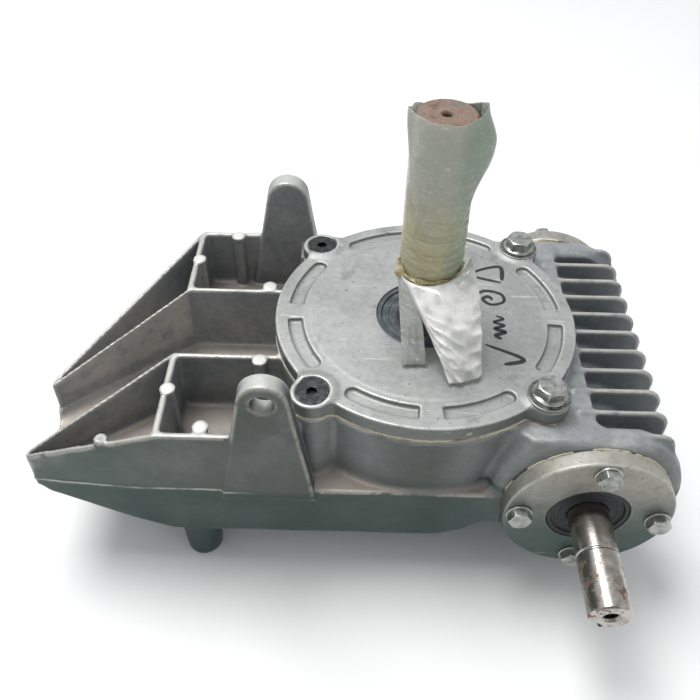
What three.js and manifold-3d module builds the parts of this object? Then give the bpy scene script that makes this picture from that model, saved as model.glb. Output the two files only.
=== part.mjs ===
// Worm gearbox with a bracketed cast housing, in millimetres, +Z up.
// The output shaft stands on the Z axis, the worm shaft runs along Y beside it, and z = 0 is the housing's underside.
import * as THREE from "three";
import { mergeVertices } from "three/addons/utils/BufferGeometryUtils.js";
import Module from "manifold-3d";

const wasm = await Module();
wasm.setup();

// ---- Driving dimensions ----
const GAP = 0.3; // play round every piece that sits in or on another
const FACE_GAP = 0.02; // play between flat faces of turned pieces

const CENTRE_DISTANCE = 100; // output axis to worm axis
const WORM_Z = 46; // height of the worm axis and of the wheel's middle plane
const GEAR_MODULE = 4;
const WORM_STARTS = 2;
const WORM_PITCH_R = 20;
const WHEEL_TEETH = 40;
const WHEEL_HALF_FACE = 17;
const FLANK_PLAY = 0.3; // taken off each tooth flank, for backlash

const COVER_R = 97.5;
const COVER_TOP = 110;
const COVER_BOTTOM = 100;
const FLANGE_TOP = 99; // the gasket lies between this and the cover
const SCREW_OFFSET = 70; // cover screws stand at plus and minus this in X and Y
const LOBE_R = 13.5;
const BOWL_R = 95;
const CAVITY_R = 89;
const FLOOR_TOP = 8;

const SIDE_Y = 98; // half the width of the housing's straight walls
const PARTING_Z = 48; // top of the lower tray
const RIM_Z = 98.5; // top of the arm walls
const WALL = 4;
const ARM_X = -160; // the web between each arm's square and wedge cells
const NOSE_RIM_Z = 69;

const WORM_CORE_R = 40;
const WORM_TUNNEL_R = 31.3;
const DECK_Z = 97;
const FIN_COUNT = 11;
const FIN_PITCH = 17.5;
const FIN_THICKNESS = 3;
const FIN_TOP = 98;
const FIN_X = 146.5;

const END_FACE_Y = 98; // the worm housing's machined ends
const END_GASKET = 0.8;
const END_COVER_Y = 110;
const END_COVER_R = 52;
const END_BOLT_CIRCLE_R = 42.7;
const END_BOLT_TURN = -2.5; // degrees the four end bolts are turned from upright

const FOOT_BOTTOM = -35;

const OUTPUT_R = 17.5;
const OUTPUT_TOP = 252;
const INPUT_R = 12.5;
const INPUT_END_Y = -175.6;

const FILM_TIE_Z = 152;

const FINE = 32; // sides of a large circle
const MEDIUM = 18;
const COARSE = 10;

// ---- Materials ----
const finish = (color, roughness, metalness) => () =>
  new THREE.MeshStandardMaterial({ color, roughness, metalness });
const castDark = finish(0x858a88, 0.62, 0.6);
const castLight = finish(0xb6b8b5, 0.55, 0.6);
const gasketPaper = finish(0xd8cfa4, 0.8, 0);
const sealRubber = finish(0x2b3134, 0.5, 0);
const shaftSteel = finish(0x8d8780, 0.32, 0.9);
const rustySteel = finish(0x8a6450, 0.6, 0.7);
const bearingSteel = finish(0xa9adb0, 0.25, 1);
const zincSteel = finish(0xb4bab8, 0.35, 0.9);
const blackSteel = finish(0x2c2e30, 0.5, 0.6);
const bronze = finish(0xb08a4a, 0.4, 0.9);
const castIron = finish(0x5b5d5f, 0.6, 0.7);
const clearFilm = finish(0xb9bda6, 0.25, 0);
const whiteFilm = finish(0xe4e5e2, 0.3, 0);
const tapeBrown = finish(0xa8a070, 0.45, 0);

// ---- Solids: booleans on closed three.js geometry ----
function solid(geometry) {
  const loose = geometry.index ? geometry.toNonIndexed() : geometry;
  const bare = new THREE.BufferGeometry();
  bare.setAttribute("position", loose.getAttribute("position").clone());
  const merged = mergeVertices(bare, 1e-4);
  const corners = merged.index.array;
  const kept = [];
  for (let i = 0; i < corners.length; i += 3) {
    const [a, b, c] = [corners[i], corners[i + 1], corners[i + 2]];
    if (a !== b && b !== c && c !== a) kept.push(a, b, c);
  }
  return new wasm.Manifold(
    new wasm.Mesh({
      numProp: 3,
      vertProperties: merged.getAttribute("position").array,
      triVerts: new Uint32Array(kept),
    }),
  );
}

function geometryOf(body) {
  const mesh = body.getMesh();
  const positions = new Float32Array(mesh.numVert * 3);
  for (let v = 0; v < mesh.numVert; v += 1) {
    for (let k = 0; k < 3; k += 1) {
      positions[3 * v + k] = mesh.vertProperties[mesh.numProp * v + k];
    }
  }
  const geometry = new THREE.BufferGeometry();
  geometry.setAttribute("position", new THREE.BufferAttribute(positions, 3));
  geometry.setIndex(Array.from(mesh.triVerts));
  const flat = geometry.toNonIndexed();
  flat.computeVertexNormals();
  return flat;
}

const joined = (first, ...others) => others.reduce((sum, next) => sum.add(next), first);
const cut = (base, ...tools) => tools.reduce((rest, tool) => rest.subtract(tool), base);

// ---- Shapes ----
const degrees = (value) => (value * Math.PI) / 180;

const polygon = (points) => new THREE.Shape(points.map(([x, y]) => new THREE.Vector2(x, y)));

function disc(x, y, radius) {
  const shape = new THREE.Shape();
  shape.absarc(x, y, radius, 0, 2 * Math.PI, false);
  return shape;
}

// A polygon with each corner rounded to one radius.
function rounded(points, radius) {
  const shape = new THREE.Shape();
  const count = points.length;
  points.forEach((point, i) => {
    const here = new THREE.Vector2(...point);
    const back = new THREE.Vector2(...points[(i + count - 1) % count]).sub(here);
    const ahead = new THREE.Vector2(...points[(i + 1) % count]).sub(here);
    const half = Math.acos(back.dot(ahead) / back.length() / ahead.length()) / 2;
    const reach = radius / Math.tan(half);
    const start = here.clone().add(back.setLength(reach));
    const end = here.clone().add(ahead.setLength(reach));
    if (i === 0) shape.moveTo(start.x, start.y);
    else shape.lineTo(start.x, start.y);
    shape.quadraticCurveTo(here.x, here.y, end.x, end.y);
  });
  shape.closePath();
  return shape;
}

// A convex polygon, anticlockwise, moved in by a distance on every side.
function inset(points, distance) {
  const count = points.length;
  const lines = points.map((point, i) => {
    const next = points[(i + 1) % count];
    const along = new THREE.Vector2(next[0] - point[0], next[1] - point[1]).normalize();
    const inward = new THREE.Vector2(-along.y, along.x).multiplyScalar(distance);
    return { at: new THREE.Vector2(...point).add(inward), along };
  });
  return lines.map((line, i) => {
    const before = lines[(i + count - 1) % count];
    const between = line.at.clone().sub(before.at);
    const reach = between.cross(line.along) / before.along.cross(line.along);
    return [before.at.x + before.along.x * reach, before.at.y + before.along.y * reach];
  });
}

// An outline in X and Y, raised from one height to another.
function prism(shape, low, high, curveSegments = 6) {
  const geometry = new THREE.ExtrudeGeometry(shape, {
    depth: high - low,
    bevelEnabled: false,
    curveSegments,
  });
  return geometry.translate(0, 0, low);
}

// An outline in X and Z, run along Y from one place to another.
function slab(shape, front, back, curveSegments = 6) {
  return prism(shape, 0, back - front, curveSegments)
    .rotateX(Math.PI / 2)
    .translate(0, back, 0);
}

function facingOut(profile) {
  let area = 0;
  profile.forEach(([r, h], i) => {
    const [nextR, nextH] = profile[(i + 1) % profile.length];
    area += r * nextH - nextR * h;
  });
  return area > 0 ? profile : profile.slice().reverse();
}

// A closed profile of [radius, height] turned about +Y.
function turnedY(profile, sides) {
  const ring = facingOut(profile);
  const points = [...ring, ring[0]].map(([r, h]) => new THREE.Vector2(r, h));
  return new THREE.LatheGeometry(points, sides);
}

const turned = (profile, sides = MEDIUM) => turnedY(profile, sides).rotateX(Math.PI / 2);

// Turned about the worm axis, where heights are world Y.
const turnedOnWorm = (profile, sides = MEDIUM) =>
  turnedY(profile, sides).translate(CENTRE_DISTANCE, 0, WORM_Z);

const ringProfile = (inner, outer, low, high) => [
  [inner, low],
  [outer, low],
  [outer, high],
  [inner, high],
];

const rod = (radius, low, high) => ringProfile(0, radius, low, high);

const post = (x, y, radius, low, high, sides = COARSE) =>
  turned(rod(radius, low, high), sides).translate(x, y, 0);

function twisted(geometry, radiansPerMm) {
  const place = geometry.getAttribute("position");
  const point = new THREE.Vector3();
  const axis = new THREE.Vector3(0, 0, 1);
  for (let i = 0; i < place.count; i += 1) {
    point.fromBufferAttribute(place, i);
    point.applyAxisAngle(axis, point.z * radiansPerMm);
    place.setXYZ(i, point.x, point.y, point.z);
  }
  return geometry;
}

// ---- The assembly ----
const gearbox = new THREE.Group();

function add(name, shape, material) {
  const geometry = shape instanceof THREE.BufferGeometry ? shape : geometryOf(shape);
  const mesh = new THREE.Mesh(geometry, material());
  mesh.name = name;
  gearbox.add(mesh);
}

const FOUR = [0, 1, 2, 3];
const CORNERS = [
  [-1, -1],
  [-1, 1],
  [1, -1],
  [1, 1],
];

// ---- Housing ----
const NOSE_X = -244;
const FRONT_NOSE_Y = -93;
const REAR_NOSE_Y = -30.5;
const FRONT_APEX = [-250.5, -92.5]; // where an arm's two faces would meet, past its blunt nose
const REAR_APEX = [-253, -44];
const WEDGE_WALL = 2.6;
const ARM_END_X = -77; // where the arms' outer walls stop, behind the lugs
const GAP_FRONT_Y = -29; // outer faces of the arm walls that face each other
const GAP_REAR_Y = 30;
const POCKET_FLOOR = 54;
const GAP_FLOOR = 42;
const TRAY_RIGHT = 75;

function tray() {
  const plan = polygon([
    [NOSE_X, FRONT_NOSE_Y],
    [-183, -97.6],
    [ARM_X, -SIDE_Y],
    [TRAY_RIGHT, -SIDE_Y],
    [TRAY_RIGHT, SIDE_Y],
    [ARM_X, SIDE_Y],
    [NOSE_X, REAR_NOSE_Y],
  ]);
  const side = polygon([
    [NOSE_X - 2, PARTING_Z],
    [-242.5, 39.5],
    [-237, 33],
    [-162, 0],
    [12, 0],
    [27, 6],
    [40, 16],
    [53, 19],
    [TRAY_RIGHT + 2, 19],
    [TRAY_RIGHT + 2, PARTING_Z],
  ]);
  return solid(prism(plan, -5, PARTING_Z + 5)).intersect(solid(slab(side, -SIDE_Y - 5, SIDE_Y + 5)));
}

const FRONT_ARM = [
  FRONT_APEX,
  [-183, -97.6],
  [ARM_X, -SIDE_Y],
  [ARM_END_X, -SIDE_Y],
  [ARM_END_X, GAP_FRONT_Y],
  [ARM_X, GAP_FRONT_Y],
];
const REAR_ARM = [
  REAR_APEX,
  [ARM_X, GAP_REAR_Y],
  [ARM_END_X, GAP_REAR_Y],
  [ARM_END_X, SIDE_Y],
  [ARM_X, SIDE_Y],
];

function arms() {
  const walls = [FRONT_ARM, REAR_ARM].map((plan) =>
    solid(prism(polygon(plan), PARTING_Z - 8, RIM_Z)),
  );
  const aboveNose = polygon([
    [NOSE_X - 20, 0],
    [NOSE_X, 0],
    [NOSE_X, NOSE_RIM_Z],
    [ARM_X, RIM_Z],
    [ARM_X, RIM_Z + 20],
    [NOSE_X - 20, RIM_Z + 20],
  ]);
  return cut(joined(...walls), solid(slab(aboveNose, -SIDE_Y - 5, SIDE_Y + 5)));
}

function armPockets() {
  const web = WALL / 2;
  const wedgeEnd = ARM_X + WEDGE_WALL - web;
  const wedges = [
    [FRONT_APEX, [wedgeEnd, -SIDE_Y], [wedgeEnd, GAP_FRONT_Y]],
    [REAR_APEX, [wedgeEnd, GAP_REAR_Y], [wedgeEnd, SIDE_Y]],
  ].map((cell) => prism(rounded(inset(cell, WEDGE_WALL), 1.2), POCKET_FLOOR, 130, 2));
  const squares = [
    [
      [ARM_X - web, -SIDE_Y],
      [-60, -SIDE_Y],
      [-60, GAP_FRONT_Y],
      [ARM_X - web, GAP_FRONT_Y],
    ],
    [
      [ARM_X - web, GAP_REAR_Y],
      [-60, GAP_REAR_Y],
      [-60, SIDE_Y],
      [ARM_X - web, SIDE_Y],
    ],
  ];
  const boxes = squares.map((cell) => prism(rounded(inset(cell, WALL), 4), POCKET_FLOOR, 130, 2));
  return [...wedges, ...boxes].map(solid);
}

function gapBetweenArms() {
  const plan = polygon([
    FRONT_APEX,
    [ARM_X, GAP_FRONT_Y],
    [-60, GAP_FRONT_Y],
    [-60, GAP_REAR_Y],
    [ARM_X, GAP_REAR_Y],
    REAR_APEX,
  ]);
  return solid(prism(plan, GAP_FLOOR, PARTING_Z + 20));
}

// Hollows under the arms, with ribs in line with the walls above.
function undersideHollows() {
  const right = -101;
  const left = -222;
  const top = GAP_FLOOR - WALL;
  const bands = [
    [-SIDE_Y, GAP_FRONT_Y + 2],
    [GAP_FRONT_Y - 2, GAP_REAR_Y + 2],
    [GAP_REAR_Y - 2, SIDE_Y],
  ];
  const outer = inset(
    [
      [NOSE_X, FRONT_NOSE_Y],
      [ARM_X, -SIDE_Y],
      [right + WALL, -SIDE_Y],
      [right + WALL, SIDE_Y],
      [ARM_X, SIDE_Y],
      [NOSE_X, REAR_NOSE_Y],
    ],
    WALL,
  );
  const inside = solid(prism(polygon(outer), -5, top + 1));
  return bands.map(([front, back]) => {
    const box = inset(
      [
        [left, front],
        [right + WALL, front],
        [right + WALL, back],
        [left, back],
      ],
      WALL,
    );
    return solid(prism(polygon(box), -5, top)).intersect(inside);
  });
}

// Round posts that the casting is pushed out of its mould by.
const EJECTOR_POSTS = [
  [-158.6, -60.7],
  [-134.2, -90],
  [-105.2, -35],
  [-158, 64.4],
  [-133.3, 92.6],
  [-104.8, 36.4],
];
const NOSE_POST = [-194, -92.5];

function ejectorPosts() {
  const tall = EJECTOR_POSTS.map(([x, y]) => solid(post(x, y, 4.8, POCKET_FLOOR - 2, RIM_Z + 0.3, 10)));
  return [...tall, solid(post(...NOSE_POST, 3.6, POCKET_FLOOR - 2, 88.5, 10))];
}

const LUG_X = -95.5;
const LUG_R = 14.8;

function lug(front, back, centreZ) {
  const bottomZ = 39;
  const shape = new THREE.Shape();
  shape.moveTo(-126.7, bottomZ);
  shape.lineTo(-67, bottomZ);
  shape.absarc(LUG_X, centreZ, LUG_R, degrees(12), degrees(172), false);
  shape.closePath();
  return solid(slab(shape, front, back, 10));
}

function frontLugHole() {
  const [face, centreZ] = [-100, 129.4];
  const bore = [
    [0, face - 3],
    [8.9, face - 3],
    [8.9, face],
    [6.8, face + 2.1],
    [6.8, -80],
    [0, -80],
  ];
  return solid(turnedY(bore, 20).translate(LUG_X, 0, centreZ));
}

function bowl() {
  const wall = solid(turned(rod(BOWL_R, GAP_FLOOR - 4, FLANGE_TOP), FINE));
  const flange = solid(turned(rod(COVER_R, FLANGE_TOP - 5, FLANGE_TOP), FINE));
  const columns = CORNERS.map(([sx, sy]) =>
    solid(post(sx * SCREW_OFFSET, sy * SCREW_OFFSET, LOBE_R, PARTING_Z - 8, FLANGE_TOP, 20)),
  );
  const filler = solid(
    prism(polygon([[-86, -97], [ARM_END_X, -97], [ARM_END_X, -75], [-86, -75]]), PARTING_Z - 8, RIM_Z - 4),
  );
  const rearFiller = solid(
    prism(polygon([[-86, 75], [ARM_END_X, 75], [ARM_END_X, 97], [-86, 97]]), PARTING_Z - 8, RIM_Z - 4),
  );
  const bearingBoss = solid(post(0, 0, 43, 0, PARTING_Z, FINE));
  return joined(wall, flange, ...columns, filler, rearFiller, bearingBoss);
}

function cavity() {
  const bearingR = 36 + GAP;
  const profile = [
    [0, FLOOR_TOP],
    [bearingR, FLOOR_TOP],
    [bearingR, 25.5],
    [44, 25.5],
    [46, FLOOR_TOP + 4],
    [CAVITY_R - 4, FLOOR_TOP + 4],
    [CAVITY_R, FLOOR_TOP + 8],
    [CAVITY_R, FLANGE_TOP + 10],
    [0, FLANGE_TOP + 10],
  ];
  const neckFloor = polygon([
    [20, FLOOR_TOP - 5],
    [28, 15],
    [41, 24],
    [53, 26],
    [CAVITY_R + 5, 26],
    [CAVITY_R + 5, FLOOR_TOP - 5],
  ]);
  const step = solid(slab(neckFloor, -CAVITY_R - 5, CAVITY_R + 5));
  const seat = solid(turned(rod(bearingR, FLOOR_TOP, 25.5), FINE));
  return solid(turned(profile, FINE)).subtract(step).add(seat);
}

function wormHousing() {
  const core = solid(turnedOnWorm(rod(WORM_CORE_R, -END_FACE_Y + 6, END_FACE_Y - 6), 24));
  const bulge = [-1, 1].map((side) => {
    const profile = [
      [0, 98],
      [END_COVER_R + 0.5, 98],
      [58, 94],
      [60, 90],
      [60, 86],
      [57, 81],
      [0, 79],
    ].map(([r, y]) => [r, side * y]);
    return solid(turnedOnWorm(profile, 28));
  });
  const deckPlan = polygon([
    [40, -76],
    [60, -93],
    [CENTRE_DISTANCE, -93],
    [CENTRE_DISTANCE, 93],
    [60, 93],
    [40, 76],
  ]);
  const deck = solid(prism(deckPlan, PARTING_Z - 14, DECK_Z));
  const above = solid(prism(polygon([[30, -99], [170, -99], [170, 99], [30, 99]]), FIN_TOP, 120));
  return cut(joined(core, ...bulge, deck, ...fins()), above);
}

function fins() {
  const corner = 11.5;
  const foot = 2 * WORM_Z - FIN_TOP;
  const shape = new THREE.Shape();
  shape.moveTo(90, FIN_TOP);
  shape.lineTo(90, foot);
  shape.lineTo(FIN_X - corner, foot);
  shape.absarc(FIN_X - corner, foot + corner, corner, -Math.PI / 2, 0, false);
  shape.absarc(FIN_X - corner, FIN_TOP - corner, corner, 0, Math.PI / 2, false);
  shape.closePath();
  const first = (-FIN_PITCH * (FIN_COUNT - 1)) / 2;
  return Array.from({ length: FIN_COUNT }, (_, i) => {
    const y = first + i * FIN_PITCH;
    return solid(slab(shape, y - FIN_THICKNESS / 2, y + FIN_THICKNESS / 2, 1));
  });
}

function wormTunnel() {
  const stop = END_FACE_Y + 5;
  return solid(turnedOnWorm(rod(WORM_TUNNEL_R, -stop, stop), FINE));
}

const FEET = [
  [-146.5, -84],
  [-146.5, 84],
  [132, -84],
  [132, 84],
];

function foot([x, y]) {
  const root = x < 0 ? 30 : 8;
  const profile = [
    [0, FOOT_BOTTOM],
    [10.6, FOOT_BOTTOM],
    [11.8, FOOT_BOTTOM + 1.2],
    [13.6, 0],
    [13.6, root],
    [0, root],
  ];
  return solid(turned(profile, 20).translate(x, y, 0));
}

function screwHoles() {
  return CORNERS.map(([sx, sy]) =>
    solid(post(sx * SCREW_OFFSET, sy * SCREW_OFFSET, 5 + GAP, 72, FLANGE_TOP + 5, 12)),
  );
}

// Angles of the end bolts about the worm axis, in radians.
const endBoltAngles = FOUR.map((i) => degrees(90 * i + END_BOLT_TURN));

const endBoltPlace = (angle) => [
  CENTRE_DISTANCE + END_BOLT_CIRCLE_R * Math.cos(angle),
  WORM_Z + END_BOLT_CIRCLE_R * Math.sin(angle),
];

// The rear end is the front end turned half a turn about a line along Z through the worm.
function toRear(geometry) {
  return geometry.rotateZ(Math.PI).translate(2 * CENTRE_DISTANCE, 0, 0);
}

function endBoltHoles(radius, outerY, innerY) {
  return endBoltAngles.map((angle) => {
    const [x, z] = endBoltPlace(angle);
    return turnedY(rod(radius, outerY, innerY), COARSE).translate(x, 0, z);
  });
}

const PLUG_PLACE = [-30, SIDE_Y, 24]; // on the rear wall
const PLUG_R = 9;

function housing() {
  const shell = cut(joined(tray(), arms()), gapBetweenArms(), ...armPockets());
  const posts = joined(...ejectorPosts());
  const body = joined(
    shell,
    posts,
    lug(-100, -88, 129.4),
    lug(91, 104.5, 131.4),
    bowl(),
    wormHousing(),
  );
  const hollow = cut(body, ...undersideHollows());
  const stood = joined(hollow, ...FEET.map(foot));
  return cut(
    stood,
    cavity(),
    wormTunnel(),
    frontLugHole(),
    ...screwHoles(),
    ...endBoltHoles(4 + GAP, -END_FACE_Y - 2, -78).map(solid),
    ...endBoltHoles(4 + GAP, -END_FACE_Y - 2, -78).map(toRear).map(solid),
    solid(turnedY(rod(PLUG_R + GAP, 84, SIDE_Y + 2), 16).translate(PLUG_PLACE[0], 0, PLUG_PLACE[2])),
  );
}

add("housing", housing(), castDark);

// ---- Main cover and what closes it ----
function coverPlan(low, high, sides = 40) {
  const plate = solid(turned(rod(COVER_R, low, high), sides));
  const lobes = CORNERS.map(([sx, sy]) =>
    solid(post(sx * SCREW_OFFSET, sy * SCREW_OFFSET, LOBE_R, low, high, MEDIUM)),
  );
  return joined(plate, ...lobes);
}

// Eight shallow arc recesses, square by the four bridges and round by the screws.
function coverRecesses() {
  const [inner, outer, depth] = [79.8, 88.6, 3];
  const middle = (inner + outer) / 2;
  const half = (outer - inner) / 2;
  return FOUR.flatMap((quarter) =>
    [-1, 1].map((side) => {
      const centre = degrees(90 * quarter);
      const near = centre + side * degrees(5);
      const far = centre + side * degrees(33);
      const [from, to] = side > 0 ? [near, far] : [far, near];
      const arc = new THREE.Shape();
      arc.absarc(0, 0, outer, from, to, false);
      arc.absarc(0, 0, inner, to, from, true);
      arc.closePath();
      const end = disc(middle * Math.cos(far), middle * Math.sin(far), half);
      const top = COVER_TOP + 2;
      return joined(
        solid(prism(arc, COVER_TOP - depth, top, 3)),
        solid(prism(end, COVER_TOP - depth, top, 5)),
      );
    }),
  );
}

const SEAL_R = 31;
const COVER_HUB_R = 44;
const BEARING_OUTER_R = 36;
const BEARING_WIDTH = 17;
const UPPER_BEARING_Z = 80.5;
const LOWER_BEARING_Z = FLOOR_TOP;

function mainCover() {
  const hub = solid(turned(rod(COVER_HUB_R, 79, COVER_BOTTOM + 1), FINE));
  const bearingTop = UPPER_BEARING_Z + BEARING_WIDTH + GAP;
  const bore = solid(
    turned(
      [
        [0, 70],
        [BEARING_OUTER_R + GAP, 70],
        [BEARING_OUTER_R + GAP, bearingTop],
        [28, bearingTop],
        [28, COVER_TOP - 11],
        [SEAL_R + GAP, COVER_TOP - 11],
        [SEAL_R + GAP, COVER_TOP - 1],
        [SEAL_R + 1 + GAP, COVER_TOP + 2],
        [0, COVER_TOP + 2],
      ],
      FINE,
    ),
  );
  const countersink = [
    [0, COVER_BOTTOM - 2],
    [5 + GAP, COVER_BOTTOM - 2],
    [5 + GAP, COVER_TOP - 5.5],
    [10 + 2 * GAP, COVER_TOP - 0.3],
    [10 + 2 * GAP, COVER_TOP + 2],
    [0, COVER_TOP + 2],
  ];
  const clearance = rod(5 + GAP, COVER_BOTTOM - 2, COVER_TOP + 2);
  const holes = CORNERS.map(([sx, sy]) =>
    solid(
      turned(sx < 0 ? countersink : clearance, 20).translate(sx * SCREW_OFFSET, sy * SCREW_OFFSET, 0),
    ),
  );
  return cut(joined(coverPlan(COVER_BOTTOM, COVER_TOP), hub), bore, ...holes, ...coverRecesses());
}

add("main_cover", mainCover(), castLight);

function coverGasket() {
  const inside = solid(turned(rod(CAVITY_R, 90, 110), FINE));
  const holes = CORNERS.map(([sx, sy]) =>
    solid(post(sx * SCREW_OFFSET, sy * SCREW_OFFSET, 5 + GAP, 90, 110, 12)),
  );
  return cut(coverPlan(FLANGE_TOP, COVER_BOTTOM, FINE), inside, ...holes);
}

add("cover_gasket", coverGasket(), gasketPaper);

const sealProfile = (inner, outer, back, front) => {
  const inward = Math.sign(back - front);
  return [
    [inner, back],
    [outer, back],
    [outer, front],
    [outer - 3, front],
    [outer - 4, front + 1.5 * inward],
    [inner + 4, front + 1.5 * inward],
    [inner + 3, front],
    [inner, front + 0.8 * inward],
  ];
};

add(
  "output_seal",
  turned(sealProfile(OUTPUT_R + GAP, SEAL_R, COVER_TOP - 10.5, COVER_TOP - 1), MEDIUM),
  sealRubber,
);

// ---- Cover fasteners ----
function countersunkScrew() {
  const body = turned(
    [
      [0, 76],
      [4, 76],
      [5, 77],
      [5, COVER_TOP - 5.3],
      [10, COVER_TOP - 0.3],
      [10, COVER_TOP],
      [0, COVER_TOP],
    ],
    COARSE + 4,
  );
  const socket = prism(disc(0, 0, 3.46), COVER_TOP - 4, COVER_TOP + 1, 3);
  return cut(solid(body), solid(socket));
}

const WASHER_T = 2;

function flangeBolt() {
  const seat = COVER_TOP + WASHER_T + FACE_GAP;
  const stem = turned(
    [
      [0, 76],
      [4, 76],
      [5, 77],
      [5, seat],
      [10.5, seat],
      [10.5, seat + 1],
      [8.4, seat + 2],
      [0, seat + 2],
    ],
    20,
  );
  const head = hexHead(16, seat + 1, seat + 8.2);
  return joined(solid(stem), solid(head));
}

function hexHead(acrossFlats, low, high) {
  const corner = acrossFlats / Math.sqrt(3);
  const chamfer = 0.9;
  const profile = [
    [0, low],
    [corner, low],
    [corner, high - chamfer],
    [corner - 1.6, high],
    [0, high],
  ];
  return turned(profile, 6);
}

CORNERS.forEach(([sx, sy]) => {
  const where = [sx * SCREW_OFFSET, sy * SCREW_OFFSET, 0];
  const end = sy < 0 ? "front" : "rear";
  if (sx < 0) {
    add(`cover_screw_${end}`, geometryOf(countersunkScrew()).translate(...where), blackSteel);
    return;
  }
  const washer = ringProfile(5 + GAP, 13.3, COVER_TOP, COVER_TOP + WASHER_T);
  add(`cover_washer_${end}`, turned(washer, 20).translate(...where), zincSteel);
  const turnedBolt = geometryOf(flangeBolt()).rotateZ(degrees(sy < 0 ? 12 : -8));
  add(`cover_bolt_${end}`, turnedBolt.translate(...where), zincSteel);
});

// ---- Ball bearings ----
// One row of balls between two races: races and cage are turned about +Z from z = 0.
function bearingPieces({ bore, outer, width, ballR, balls }) {
  const pitch = (bore + outer) / 2;
  const middle = width / 2;
  const land = ballR * 0.58;
  const lip = ballR * 0.85;
  const groove = ballR + 0.35;
  const flat = ballR * 0.45;
  const sag = outer * (1 - Math.cos(Math.PI / MEDIUM)); // how far a flat side dips inside its circle
  const race = (edge, sign) => {
    const from = pitch + (sign > 0 ? sag : 0);
    return [
      [edge, 0],
      [from + sign * land, 0],
      [from + sign * land, middle - lip],
      [from + sign * groove, middle - flat],
      [from + sign * groove, middle + flat],
      [from + sign * land, middle + lip],
      [from + sign * land, width],
      [edge, width],
    ];
  };
  const cage = solid(turnedY(ringProfile(pitch - 1, pitch + 1, middle - 3, middle + 3), 12));
  const row = Array.from({ length: balls }, (_, i) => {
    const angle = (2 * Math.PI * i) / balls;
    const ball = new THREE.SphereGeometry(ballR, 5, 4);
    return solid(ball.translate(pitch * Math.cos(angle), middle, pitch * Math.sin(angle)));
  });
  return {
    outer_race: turnedY(race(outer, 1), MEDIUM),
    inner_race: turnedY(race(bore + GAP, -1), MEDIUM),
    ball_cage: geometryOf(joined(cage, ...row)),
  };
}

const OUTPUT_BEARING = { bore: OUTPUT_R, outer: BEARING_OUTER_R, width: BEARING_WIDTH, ballR: 5.5, balls: 9 };
const WORM_BEARING = { bore: INPUT_R, outer: 31, width: 17, ballR: 5.7, balls: 7 };

function addBearing(name, spec, place) {
  Object.entries(bearingPieces(spec)).forEach(([piece, geometry]) => {
    add(`${name}_${piece}`, place(geometry), bearingSteel);
  });
}

const upright = (z) => (geometry) => geometry.rotateX(Math.PI / 2).translate(0, 0, z);
const onWorm = (y) => (geometry) => geometry.translate(CENTRE_DISTANCE, y, WORM_Z);

addBearing("upper_bearing", OUTPUT_BEARING, upright(UPPER_BEARING_Z));
addBearing("lower_bearing", OUTPUT_BEARING, upright(LOWER_BEARING_Z + GAP));
const WORM_BEARING_Y = 78;
addBearing("front_worm_bearing", WORM_BEARING, onWorm(-WORM_BEARING_Y - WORM_BEARING.width));
addBearing("rear_worm_bearing", WORM_BEARING, onWorm(WORM_BEARING_Y));

// ---- Output shaft, wheel and key ----
const SHAFT_FOOT = FLOOR_TOP + 1;
const COLLAR_LOW = 66;
const COLLAR_HIGH = UPPER_BEARING_Z - GAP;
const HUB_LOW = 31;
const KEY_WIDTH = 10;
const KEY_LOW = 34;
const KEY_HIGH = 60;

function outputShaft() {
  const body = turned(
    [
      [0, SHAFT_FOOT],
      [OUTPUT_R - 1.5, SHAFT_FOOT],
      [OUTPUT_R, SHAFT_FOOT + 1.5],
      [OUTPUT_R, COLLAR_LOW],
      [21, COLLAR_LOW],
      [21, COLLAR_HIGH],
      [OUTPUT_R, COLLAR_HIGH],
      [OUTPUT_R, OUTPUT_TOP - 1.5],
      [OUTPUT_R - 1.5, OUTPUT_TOP],
      [3.6, OUTPUT_TOP],
      [2.6, OUTPUT_TOP - 1.5],
      [2.6, OUTPUT_TOP - 10],
      [0, OUTPUT_TOP - 12],
    ],
    24,
  );
  const keyway = prism(
    polygon([
      [OUTPUT_R - 5, -KEY_WIDTH / 2],
      [OUTPUT_R + 5, -KEY_WIDTH / 2],
      [OUTPUT_R + 5, KEY_WIDTH / 2],
      [OUTPUT_R - 5, KEY_WIDTH / 2],
    ]),
    KEY_LOW,
    KEY_HIGH,
  );
  return cut(solid(body), solid(keyway));
}

add("output_shaft", outputShaft(), rustySteel);

const key = (low, high, play) =>
  prism(
    polygon([
      [OUTPUT_R - 5 + play, -KEY_WIDTH / 2 + play],
      [OUTPUT_R + 3.3 - play, -KEY_WIDTH / 2 + play],
      [OUTPUT_R + 3.3 - play, KEY_WIDTH / 2 - play],
      [OUTPUT_R - 5 + play, KEY_WIDTH / 2 - play],
    ]),
    low,
    high,
  );

add("wheel_key", key(KEY_LOW + GAP, KEY_HIGH - GAP, GAP / 2), shaftSteel);

const RIM_INNER_R = 62;

function wheelHub() {
  const body = turned(
    [
      [OUTPUT_R + GAP, HUB_LOW],
      [29, HUB_LOW],
      [29, 41],
      [50, 41],
      [50, WORM_Z - WHEEL_HALF_FACE + 1],
      [RIM_INNER_R - GAP, WORM_Z - WHEEL_HALF_FACE + 1],
      [RIM_INNER_R - GAP, WORM_Z + WHEEL_HALF_FACE - 1],
      [50, WORM_Z + WHEEL_HALF_FACE - 1],
      [50, 51],
      [29, 51],
      [29, COLLAR_LOW - GAP],
      [OUTPUT_R + GAP, COLLAR_LOW - GAP],
    ],
    24,
  );
  return cut(solid(body), solid(key(HUB_LOW - 2, COLLAR_LOW + 2, 0)));
}

add("wheel_hub", wheelHub(), castIron);

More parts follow.
